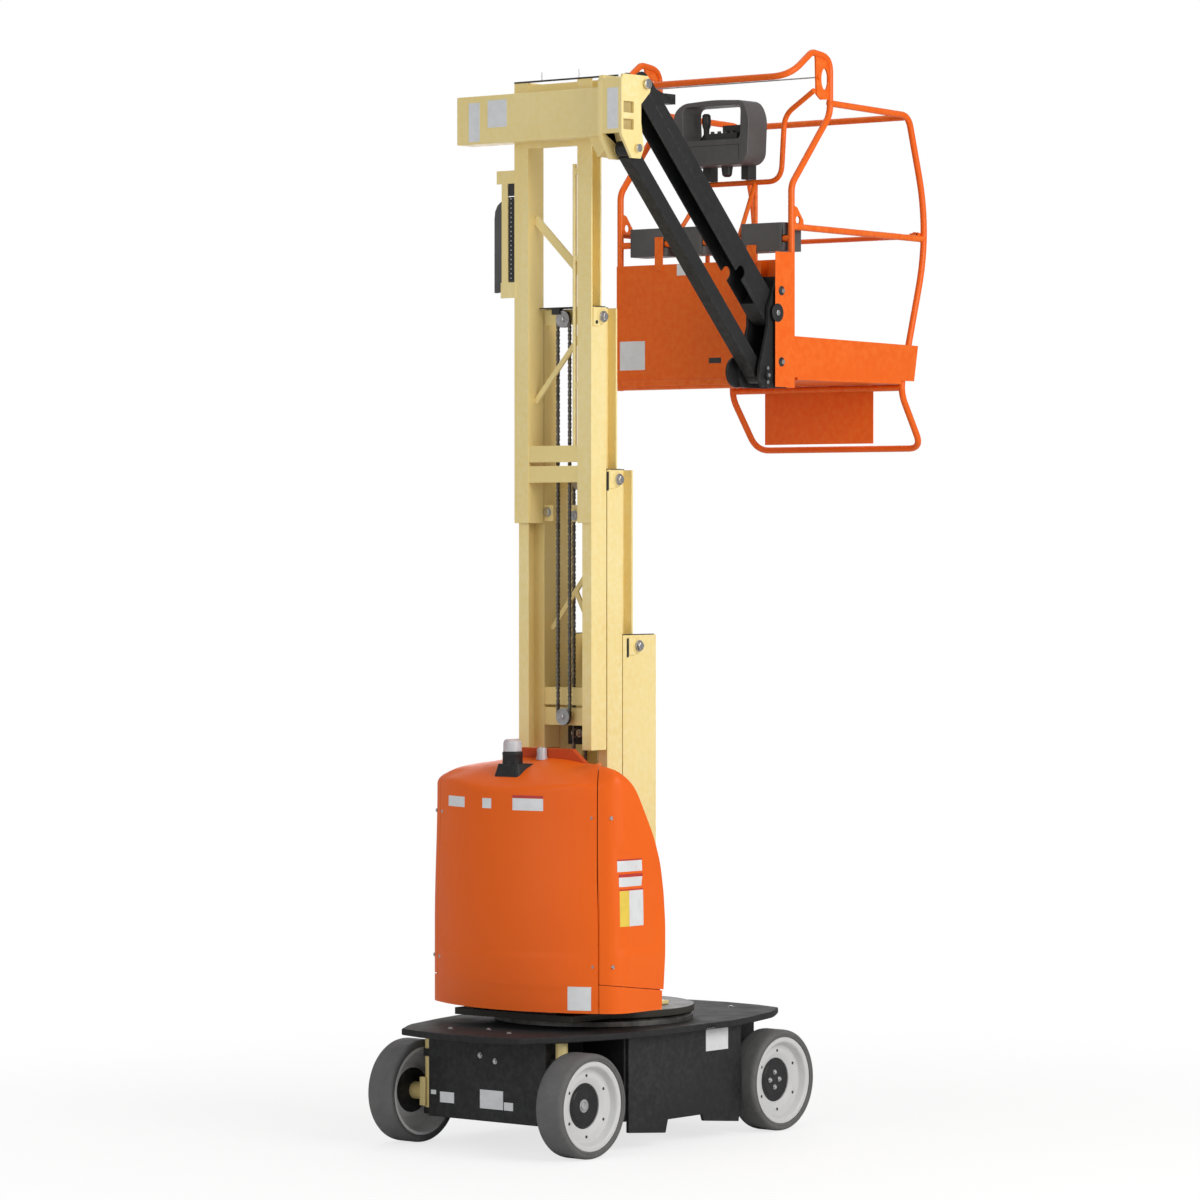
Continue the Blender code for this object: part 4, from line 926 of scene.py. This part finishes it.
# Chains: the body each rides on, the x of its middle, and the z of its two axles
CHAINS = {
    "lift_chain_upper": ("stage_2", -0.187, 1.675, 3.245),
    "lift_chain_lower": ("stage_3", -0.089, 1.055, 2.605),
}
# The outer face of the widest sections' side walls
SKIN_Y = 0.1868
CHAIN_R = 0.03
LINK_PITCH = 0.0159
LINK_HALF = 0.0052


def chain_point(s, low, high):
    """The y and z of the point s along a chain's loop, from the foot of its left strand."""
    straight = high - low
    bend = pi * CHAIN_R
    s %= 2 * (straight + bend)
    side, foot, head = 1, low, high
    if s >= straight + bend:
        s -= straight + bend
        side, foot, head = -1, high, low
    if s < straight:
        return Vector((side * CHAIN_R, foot + side * s))
    turn = (s - straight) / CHAIN_R
    return Vector((side * CHAIN_R * cos(turn), head + side * CHAIN_R * sin(turn)))


def link_outline(start, end):
    """A link plate between two pins: round ends and a waist."""
    along = (end - start).normalized()
    across = Vector((-along.y, along.x))
    outline = []
    for middle, first in ((start, 90), (end, -90)):
        for k in range(6):
            turn = radians(first + 36 * k)
            outline.append(middle + LINK_HALF * (cos(turn) * along + sin(turn) * across))
        outline.append((start + end) / 2 + across * (-0.0036 if middle is start else 0.0036))
    return [tuple(p) for p in outline]


def make_chain(name, body, x, low, high):
    length = 2 * (high - low + pi * CHAIN_R)
    count = 2 * round(length / LINK_PITCH / 2)
    bm = bmesh.new()
    for k in range(count):
        start, end = (chain_point(length * j / count, low, high) for j in (k, k + 1))
        outline = link_outline(start, end)
        for middle in ((-0.0056, 0.0056) if k % 2 else (-0.0036, 0.0, 0.0036)):
            prism(bm, outline, "x", x + middle - 0.0008, x + middle + 0.0008)
        disc(bm, (x, start.x, start.y), 0.0026, 0.0072, "x", 8)
    place(name + "_links", bm, CHAIN, body, replaces=(name,))
    bm = bmesh.new()
    rim = [(0.0, -0.009), (0.0335, -0.009), (0.0335, -0.008), (0.0248, -0.0066)]
    profile = rim + [(radius, -height) for radius, height in reversed(rim)]
    for z in (low, high):
        turned(bm, profile, (x, 0, z), "x", 48)
        disc(bm, (x + 0.0105, 0, z), 0.0085, 0.0195, "x", 24)
        bolt(bm, (x - 0.009, 0, z), 0.01, -0.006, "x")
    place(name + "_sheaves", bm, ROLLER, body)


for chain_name, (chain_body, chain_x, chain_low, chain_high) in CHAINS.items():
    make_chain(chain_name, chain_body, chain_x, chain_low, chain_high)


# What holds a section's top to the next: the body, the roller's x and z, and the wear pad's x
GUIDES = (
    ("stage_2", -0.185, 3.25, -0.236),
    ("stage_3", -0.087, 2.612, -0.139),
    ("turntable", 0.037, 1.954, -0.014),
)


def make_guides():
    for body, x, z, pad_x in GUIDES:
        washers, bolts, pads, holes = (bmesh.new() for _ in range(4))
        pair(pads, (pad_x, pad_x + 0.04), (SKIN_Y, SKIN_Y + 0.006), (z - 0.036, z + 0.034))
        if body != "stage_2":
            slot_x = (pad_x - 0.009, pad_x - 0.0005)
            pair(holes, slot_x, (SKIN_Y, SKIN_Y + 0.004), (z - 0.044, z + 0.03))
        for side in (-1, 1):
            spot = (x, side * SKIN_Y, z)
            washer = stud(0, 0.031, 0.005, (0.0285, 0.0085), (0.026, 0.012))
            turned(washers, washer, spot, "y", 40, side)
            turned(bolts, stud(0.0118, 0.0225, 0.0165), spot, "y", 32, side)
            bolt(bolts, (x, side * (SKIN_Y + 0.0164), z), 0.0165, side * 0.013, "y")
            if body == "stage_2":
                spot = (pad_x + 0.02, side * (SKIN_Y + 0.0062), z - 0.022)
                turned(holes, stud(-0.001, 0.008, 0.0006), spot, "y", 20, side)
        place("guide_washers_" + body, washers, CREAM, body)
        place("guide_bolts_" + body, bolts, ROLLER, body, 0.0006)
        place("guide_pads_" + body, pads, CREAM, body, 0.0012)
        place("guide_holes_" + body, holes, KNOB, body)


make_guides()


def make_caps():
    """The black strips on the tops of the columns."""
    outer, inner = (0.179, SKIN_Y), (0.1255, 0.1325)
    second = (
        (box, (-0.2, -0.126), (-0.116, 0.116), (3.2878, 3.2925)),
        (pair, (-0.24, -0.154), outer, (3.2878, 3.292)),
        (pair, (-0.151, -0.07), inner, (3.2878, 3.292)),
        (box, (-0.2035, -0.179), (0.01, 0.05), (3.264, 3.288)),
    )
    third = (
        (pair, (-0.1425, -0.056), outer, (2.6498, 2.654)),
        (pair, (-0.054, 0.028), inner, (2.6498, 2.654)),
    )
    fourth = ((pair, (-0.0445, 0.15), outer, (1.9968, 2.001)),)
    first = (
        (box, (-0.258, -0.248), (0.128, 0.1975), (4.1798, 4.1865)),
        (box, (-0.258, -0.248), (-0.33, 0.129), (4.18, 4.1865)),
    )
    for number, shapes, body, bevel in (
        (2, second, "stage_2", 0.0008),
        (3, third, "stage_3", 0.0008),
        (4, fourth, "turntable", 0.0008),
        (1, first, "stage_1", 0.001),
    ):
        place("column_caps_%d" % number, built(*shapes), KNOB, body, bevel)
    studs = [(disc, (-0.253, y, 4.2), 0.0026, 0.018, "z", 12) for y in (0.057, -0.134)]
    place("cap_studs", built(*studs), STEEL, "stage_1")


make_caps()


def make_mast_fittings():
    bar = (box, (-0.255, -0.23), (-0.1275, 0.1275), (3.92, 3.946))
    place("head_bar", built(bar), CREAM, "stage_1", 0.001)
    pipe = [(tube, [(-0.248, -0.107, 2.744), (-0.248, -0.107, 3.849)], 0.0085)]
    for z in (2.98, 3.48, 3.82):
        pipe.append((box, (-0.252, -0.244), (-0.1275, -0.107), (z - 0.012, z + 0.012)))
    place("mast_pipe", built(*pipe), CREAM, "stage_1")
    bolts, plates = [], []
    for x, y, z in ((-0.156, 0.108, 2.484), (-0.156, -0.03, 2.47)):
        plates.append((disc, (x - 0.0015, y, z), 0.026, 0.0015, "x"))
        bolts.append((bolt, (x - 0.003, y, z), 0.015, -0.01, "x"))
    for y in ((0.08, 0.178), (-0.178, -0.005)):
        plates.append((box, (-0.157, -0.152), y, (2.448, 2.512)))
    place("tie_bolts", built(*bolts), STEEL, "stage_2", 0.0006)
    place("tie_plate", built(*plates), CREAM, "stage_2", 0.001)
    nuts = [(bolt, (-0.06, y, 1.605), 0.012, -0.01, "x") for y in (0.051, 0.025)]
    place("anchor_nuts", built(*nuts), STEEL, "stage_3", 0.0006)
    plate = (box, (-0.06, -0.052), (-0.01, 0.085), (1.56, 1.65))
    place("anchor_plate", built(plate), BLACK, "stage_3", 0.001)


make_mast_fittings()


# The hose carrier's links: the z of the first, the level where they end, and their pitch
CARRIER_FOOT = 3.404
CARRIER_HEAD = 3.775
CARRIER_PITCH = 0.0185


def make_hose_guide():
    """The guard's moulding, and the hose carrier that runs beside it."""
    dress("hose_guard", PLASTIC, 0.003, 3)
    links = [(box, (-0.257, -0.25), (0.2, 0.229), (3.738, 3.784))]
    pins = []
    z = CARRIER_FOOT
    while z < CARRIER_HEAD:
        links.append((box, (-0.2556, -0.2498), (0.2015, 0.2275), (z, z + 0.015)))
        if z < CARRIER_HEAD - 0.045:
            pins.append((disc, (-0.2562, 0.2145, z + 0.0075), 0.0034, 0.001, "x", 12))
        z += CARRIER_PITCH
    place("hose_carrier", built(*links), KNOB, "stage_1", 0.0008)
    place("hose_carrier_pins", built(*pins), STEEL, "stage_1")


make_hose_guide()


# Jib
dress("jib_beam", CREAM, 0.004, 3)
HEAD_WINDOWS = ((3.958, 3.999), (4.023, 4.067))


def make_head():
    """The clevis on the beam's end, with its two windows as wide as they are seen."""
    bm = bmesh.new()
    bm.from_mesh(NODES["jib_head"].data)
    bmesh.ops.translate(bm, verts=bm.verts, vec=-SLEW)
    bmesh.ops.remove_doubles(bm, verts=bm.verts, dist=1e-5)
    fill = built((box, (-0.38, -0.334), (-0.475, -0.463), (4.001, 4.112)))
    windows = [(box, (-0.395, -0.333), (-0.49, -0.4616), z) for z in HEAD_WINDOWS]
    bm = cut(cut(bm, fill, "UNION"), built(*windows))
    bmesh.ops.dissolve_limit(bm, angle_limit=radians(0.4), verts=bm.verts, edges=bm.edges)
    place("jib_head_skin", bm, CREAM, "stage_1", 0.0018)


make_head()
dress("jib_arm", BLACK, 0.0025, 3)
dress("jib_link", BLACK, 0.003, 3)
dress("jib_carrier", BLACK, 0.002)


def make_jib_fittings():
    # The liner's darker cream is painted shade inside the windows.
    liner = (box, (-0.404, -0.318), (-0.4622, -0.4606), (3.95, 4.08))
    place("head_liner", built(liner), LINER_PAINTED_SHADE, "stage_1")
    upper = stud(0, 0.02, 0.004, (0.018, 0.0055))
    lower = stud(0, 0.016, 0.004, (0.0145, 0.0052))
    pins = [(turned, upper, (-0.26, -0.4868, 4.14), "y", 40, -1)]
    pins.append((turned, lower, (-0.315, -0.4868, 3.889), "y", 40, -1))
    place("head_pins", built(*pins), ROLLER, "stage_1")

    outline = [(0.548, -0.4888), (0.646, -0.4888), (0.646, -0.4788), (0.6402, -0.4788)]
    outline += [(0.6402, -0.4871), (0.548, -0.4871)]
    place("bracket_face", built((prism, outline, "z", 2.986, 3.528)), ORANGE, "platform", 0.0006)
    slots, bolts = bmesh.new(), bmesh.new()
    for z in (3.087, 3.372):
        turned(slots, stud(0, 0.019, 0.0012), (0.588, -0.4886, z), "y", 32, -1)
        turned(bolts, stud(0, 0.01, 0.003, (0.0085, 0.0045)), (0.596, -0.4896, z), "y", 6, -1)
    turned(slots, stud(0, 0.037, 0.0012, (0.0355, 0.002)), (0.563, -0.4886, 3.283), "y", 48, -1)
    turned(bolts, stud(0, 0.012, 0.003, (0.01, 0.0044)), (0.563, -0.4904, 3.283), "y", 6, -1)
    domed = [(0, 0), (0.007, 0), (0.007, 0.003), (0, 0.0036)]
    for x, z in ((0.5, 3.06), (0.508, 3.032), (0.5, 3.004)):
        turned(bolts, domed, (x, -0.4868, z), "y", 20, -1)
    place("bracket_slots", slots, BLACK, "platform")
    place("bracket_bolts", bolts, STEEL, "platform")
    lug = [(-0.225, 4.15), (-0.105, 4.118), (-0.03, 4.118), (-0.03, 4.078), (-0.105, 4.078)]
    lug.append((-0.17, 4.1))
    place("arm_lug", built((prism, lug, "y", -0.44, -0.4)), SHINY_BLACK, "jib_arm", 0.002)
    lobe = (disc, (0.46, -0.357, 3.045), 0.062, 0.0058, "y", 48)
    place("carrier_lobe", built(lobe), BLACK, "platform", 0.0015)


make_jib_fittings()


# Platform
def bent(bm, points, radii, steps, radius):
    """A tube along these points and on along their mirror image, with rounded corners."""
    other = [(x, -y, z) for x, y, z in reversed(points)]
    tube(bm, rounded(points + other, radii + radii[::-1], steps), radius)


def make_cage():
    bm = bmesh.new()
    hoop = [(CAGE_X0, -CAGE_Y, 2.99), (CAGE_X0, -CAGE_Y, 3.805), (0.968, -CAGE_Y, 4.105)]
    hoop += [(0.968, -CAGE_Y, 4.335), (0.845, -CAGE_Y, 4.349), (0.7, -CAGE_Y, 4.245)]
    bent(bm, hoop, [0, 0.08, 0.1, 0.08, 0.05, 0.14], 10, RAIL_R)
    loop = [(0.96, -CAGE_Y, 4.15), (1.51, -CAGE_Y, 4.135), (1.655, -CAGE_Y, 3.66)]
    loop += [(1.455, -CAGE_Y, 2.99), (1.62, -CAGE_Y + 0.01, 2.755)]
    bent(bm, loop, [0, 0.07, 0.9, 0.12, 0.07], 12, RAIL_R)
    for x, z in ((1.5, 4.128), (CAGE_X0, 3.59), (CAGE_X0, SILL_Z), (CAGE_X1, SILL_Z)):
        tube(bm, [(x, -CAGE_Y, z), (x, CAGE_Y, z)], RAIL_R)
    for side in (-1, 1):
        apex = (0.887, side * 0.125, 3.838)
        tube(bm, [(CAGE_X0, side * CAGE_Y, 3.637), (1.618, side * CAGE_Y, 3.627)], RAIL_R)
        tube(bm, [apex, (CAGE_X0, side * 0.1725, 3.59)], STAY_R)
        tube(bm, [apex, (0.887, side * 0.125, PAN_TOP_Z + 0.0045)], STAY_R)
    cradle = [(0.862, -CAGE_Y, 4.195), (0.887, -0.275, 4.105), (0.887, -0.257, 3.838)]
    bent(bm, cradle, [0, 0.09, 0.07], 10, 0.011)
    weld_plates(bm)
    place("cage_tubes", bm, ORANGE, "platform", replaces=("cage_frame",))
    cord = (tube, [(0.886, -CAGE_Y, 4.25), (0.886, CAGE_Y, 4.25)], 0.0032, 12)
    place("cage_cord", built(cord), STEEL, "platform")
    x, y, z = BAR_PIVOT
    pin = (tube, [(x - 0.045, y, z), (x + 0.045, y, z)], 0.006, 16)
    place("bar_pin", built(pin), STEEL, "platform")


def weld_plates(bm):
    """The plates welded to the tubes: harness lugs, the horns' plates, and the entry bar's seats."""
    lug = [(0.715, 3.625), (0.79, 3.625), (0.785, 3.665), (0.745, 3.715), (0.715, 3.725)]
    horn = [(0.964, 4.165), (0.964, 4.335), (0.868, 4.345), (0.874, 4.18), (0.905, 4.16)]
    for side in (-1, 1):
        wide = sorted((side * CAGE_Y - 0.004, side * CAGE_Y + 0.004))
        eye_plate(bm, lug, (0.75, 3.665), (0.016, 0.016), "y", *wide)
        eye_plate(bm, horn, (0.929, 4.245), (0.0235, 0.044), "y", *wide)
        disc(bm, (0.886, side * (CAGE_Y + 0.004), 4.25), 0.011, 0.006, "y", 24)
    x, y, z = BAR_PIVOT
    box(bm, (x - 0.03, x + 0.03), (-0.437, y - 0.0235), (z - 0.012, z + 0.012))
    for cheek in (x - 0.027, x + 0.027):
        box(bm, (cheek - 0.003, cheek + 0.003), (-0.432, y + 0.012), (z - 0.012, z + 0.012))
    box(bm, (x - 0.014, x + 0.014), (0.39, 0.438), (z - 0.024, z - 0.0125))
    for y, top in (((0.203, 0.243), 3.618), ((-0.281, -0.236), 3.568)):
        box(bm, (0.685, 0.69), y, (3.48, top))


make_cage()
for piece in ("cage_pan", "back_panel", "cage_bracket", "step_panel"):
    dress(piece, ORANGE, 0.0015)
dress("entry_bar", ORANGE, 0.001)


def make_console():
    """The upper control box: a hand guard that rises over a sloping desk."""
    x0, x1 = 0.745, 0.872
    outline = [(-0.16, 3.905), (0.16, 3.905), (0.192, 3.935), (0.2, 4.1), (0.165, 4.166)]
    outline += [(0.0, 4.175), (-0.165, 4.166), (-0.2, 4.1), (-0.192, 3.935)]
    outline = soft_outline(outline, [0.06, 0.06, 0.06, 0.3, 0.09, 0.9, 0.09, 0.3, 0.06], 7)
    window = [(-0.152, 4.01), (0.14, 4.01), (0.146, 4.149), (-0.156, 4.149)]
    window = soft_outline(window, [0.02, 0.02, 0.03, 0.03], 5)
    slope = [(x0 - 0.1, 4.36), (x1 - 0.02, 4.36), (x0 - 0.012, 4.11), (x0 - 0.1, 4.11)]
    body = cut(built((prism, outline, "x", x0, x1)), built((prism, window, "x", 0.6, 1.1)))
    body = cut(body, built((prism, slope, "y", -0.3, 0.3)))
    place("console_body", body, PLASTIC, "platform", 0.0045, 3, 40.0, ("control_console",))

    feet = [(box, (0.848, 0.9), (y - 0.02, y + 0.02), (3.85, 3.912)) for y in (-0.1, 0.1)]
    profile = [(0, -0.042), (0.012, -0.042), (0.02, -0.034), (0.026, 0.012), (0, 0.012)]
    feet.append((turned, profile, (0.845, -0.01, 3.905), "z", 32))
    place("console_feet", built(*feet), KNOB, "platform", 0.002)
    profile = [(0, 0), (0.026, 0), (0.027, 0.008), (0.018, 0.02), (0.012, 0.03), (0.0125, 0.05)]
    profile += [(0.017, 0.062), (0.019, 0.085), (0.017, 0.108), (0.01, 0.114), (0, 0.115)]
    stick = [(rounded_box, (0.76, 0.85), (-0.128, 0.04), (4.009, 4.036), 0.008)]
    stick.append((rounded_box, (0.78, 0.85), (-0.128, -0.034), (4.034, 4.068), 0.008))
    stick.append((turned, profile, (0.815, 0.074, 4.01), "z", 40))
    place("console_stick", built(*stick), KNOB, "platform")
    button = [(0, -0.007), (0.0065, -0.007), (0.008, -0.0055), (0.008, 0.0055), (0.0065, 0.007), (0, 0.007)]
    buttons = [(turned, button, (0.768, y, 4.038), "z", 20) for y in (-0.095, -0.062, -0.03, 0.005)]
    place("console_buttons", built(*buttons), KNOB, "platform")
    front = (x0 - 0.0006, x0 + 0.001)
    joints = [(box, front, (-0.15, -0.1475), (3.925, 3.986))]
    joints.append((box, front, (-0.15, 0.15), (3.9845, 3.987)))
    place("console_joints", built(*joints), KNOB, "platform")


make_console()


TRAY_CORNER = 0.026


def make_tray(word, y0, y1):
    """A moulded tray whose rear wall stands over the rail and hangs from it."""
    x0, x1 = 0.6905, 0.809
    x = x0 + TRAY_CORNER
    outline = corner_arc((x, y1 - TRAY_CORNER), TRAY_CORNER, 1)
    outline += corner_arc((x, y0 + TRAY_CORNER), TRAY_CORNER, 2) + [(x1, y0), (x1, y1)]
    form = built((prism, outline, "z", 3.54, 3.655))
    well = built((box, (0.73, 0.803), (y0 + 0.006, y1 - 0.006), (3.56, 3.8)))
    slot = built((box, (0.6955, 0.7245), (y0 - 0.1, y1 + 0.1), (3.5755, 3.6045)))
    form = cut(cut(form, well), slot)
    place("tray_form_" + word, form, PLASTIC, "platform", 0.002, 2, 40.0, ("tool_tray_" + word,))


make_tray("right", -0.42, -0.19)
make_tray("centre", -0.01, 0.14)
make_tray("left", 0.19, 0.39)


# Blank labels on flat faces: name, body, axis across the face, the face's level and the two ranges
FLAT_LABELS = (
    ("end_a", "chassis", "x", -0.655, (0.167, 0.24), (0.173, 0.215)),
    ("end_b", "chassis", "x", -0.655, (-0.085, 0.033), (0.165, 0.238)),
    ("end_c", "chassis", "x", -0.655, (-0.136, -0.09), (0.165, 0.196)),
    ("end_d", "chassis", "x", -0.655, (0.261, 0.287), (0.202, 0.219)),
    ("skirt_right", "chassis", "y", -0.44, (0.162, 0.303), (0.351, 0.436)),
    ("skirt_left", "chassis", "y", 0.44, (0.162, 0.303), (0.351, 0.436)),
    ("panel_a", "platform", "x", 0.6895, (0.298, 0.431), (3.074, 3.193)),
    ("panel_b", "platform", "x", 0.6895, (0.082, 0.129), (3.457, 3.503)),
    ("beam_a", "stage_1", "x", -0.36, (0.289, 0.346), (3.95, 4.104)),
    ("beam_b", "stage_1", "x", -0.36, (0.148, 0.247), (4.002, 4.11)),
    ("head", "stage_1", "x", -0.4072, (-0.457, -0.404), (3.961, 4.119)),
)


def make_flat_labels():
    for name, body, axis, level, first, second in FLAT_LABELS:
        way = 1 if axis == "y" and level > 0 else -1
        span = sorted((level - way * 0.0006, level + way * 0.001))
        sides = (span, first, second) if axis == "x" else (first, span, second)
        place("label_" + name, built((box, *sides)), LABEL, body)
    slot = (box, (0.6888, 0.69), (-0.101, -0.038), (3.094, 3.116))
    place("panel_slot", built(slot), KNOB, "platform")
    lip = [(0.6897, 3.032), (0.684, 3.026), (0.6826, 3.007), (0.6897, 3.0055)]
    place("panel_lip", built((prism, lip, "y", -0.3, 0.42)), ORANGE, "platform")


make_flat_labels()


def make_deck_fittings():
    bm = bmesh.new()
    for y, z in ((0.033, 0.37), (-0.044, 0.352)):
        bolt(bm, (-0.655, y, z), 0.0085, -0.007, "x")
    for end in (-1, 1):
        for x, y in ((0.628, 0.01), (0.695, -0.15), (0.695, 0.15)):
            bolt(bm, (end * x, y, 0.4698), 0.009, 0.006, "z")
    place("deck_bolts", bm, STEEL, "chassis", 0.0005)
    tag = (box, (0.1, 0.15), (-0.495, -0.493), (0.4495, 0.4635))
    place("deck_tag", built(tag), LABEL, "chassis")


make_deck_fittings()


# Light, floor and camera
def aim(obj, ahead):
    obj.rotation_euler = ahead.to_track_quat("-Z", "Y").to_euler()


# What the lights are turned to
MIDDLE = Vector((0.0, 0.0, 2.2))


def make_light(name, spot, size, power, colour=(1.0, 1.0, 1.0)):
    """A square area light that looks at the machine's middle."""
    data = bpy.data.lights.new(name, "AREA")
    data.shape = "RECTANGLE"
    data.size = size
    data.size_y = size
    data.energy = power
    data.color = colour
    obj = put(name, data)
    obj.location = Vector(spot)
    aim(obj, MIDDLE - obj.location)


def make_studio():
    make_light("key", (-1.0, -7.5, 5.0), 5.0, 430, (1.0, 0.985, 0.96))
    make_light("fill", (-7.5, 0.5, 3.5), 5.0, 104, (0.96, 0.98, 1.0))
    make_light("top", (1.0, 1.0, 8.5), 6.0, 90)
    make_light("back", (6.5, 5.5, 4.5), 5.0, 160)
    world = bpy.data.worlds.new("studio")
    bpy.context.scene.world = world
    net = Tree(world)
    seen = net.node("LightPath").outputs["Is Camera Ray"]
    lit = net.fed("Background", (0.97, 0.985, 1.0), 0.4)
    shown = net.fed("Background", (1.0, 1.0, 1.0), 1.0)
    net.feed(net.node("OutputWorld").inputs[0], net.fed("MixShader", seen, lit, shown))


def make_floor():
    """A white floor that takes shadows near the machine, and melts into the background further out."""
    bm = bmesh.new()
    bmesh.ops.create_grid(bm, x_segments=1, y_segments=1, size=60.0)
    floor = put_mesh("floor", bm)
    floor.location.z = -0.0005
    white = bpy.data.materials.new("pale floor")
    net = Tree(white)
    soft = net.fed("BsdfDiffuse", (0.26, 0.26, 0.26))
    near = net.fed("AddShader", soft, net.fed("Emission", None, 0.74))
    where = net.node("TexCoord").outputs["Object"]
    reach = net.node("VectorMath", operation="LENGTH")
    net.feed(reach.inputs[0], where)
    fade = net.band(reach.outputs["Value"], 1.2, 4.5, interpolation_type="SMOOTHSTEP")
    shown = net.fed("MixShader", fade, near, net.fed("Emission"))
    seen = net.node("LightPath").outputs["Is Camera Ray"]
    plain = net.fed("BsdfDiffuse", (0.8, 0.8, 0.8))
    net.feed(net.node("OutputMaterial").inputs[0], net.fed("MixShader", seen, plain, shown))
    floor.data.materials.append(white)


def make_camera():
    data = bpy.data.cameras.new("camera")
    data.lens = 148.3
    data.sensor_width = 36.0
    data.clip_end = 200.0
    obj = put("camera", data)
    obj.location = Vector((-15.16, -12.55, 2.393)) + SLEW
    pitch = radians(-0.753)
    yaw = radians(50.45)
    aim(obj, Vector((sin(yaw) * cos(pitch), cos(yaw) * cos(pitch), sin(pitch))))
    bpy.context.scene.camera = obj


make_studio()
make_floor()
make_camera()
bpy.context.scene.view_settings.view_transform = "Standard"
bpy.context.scene.view_settings.look = "None"
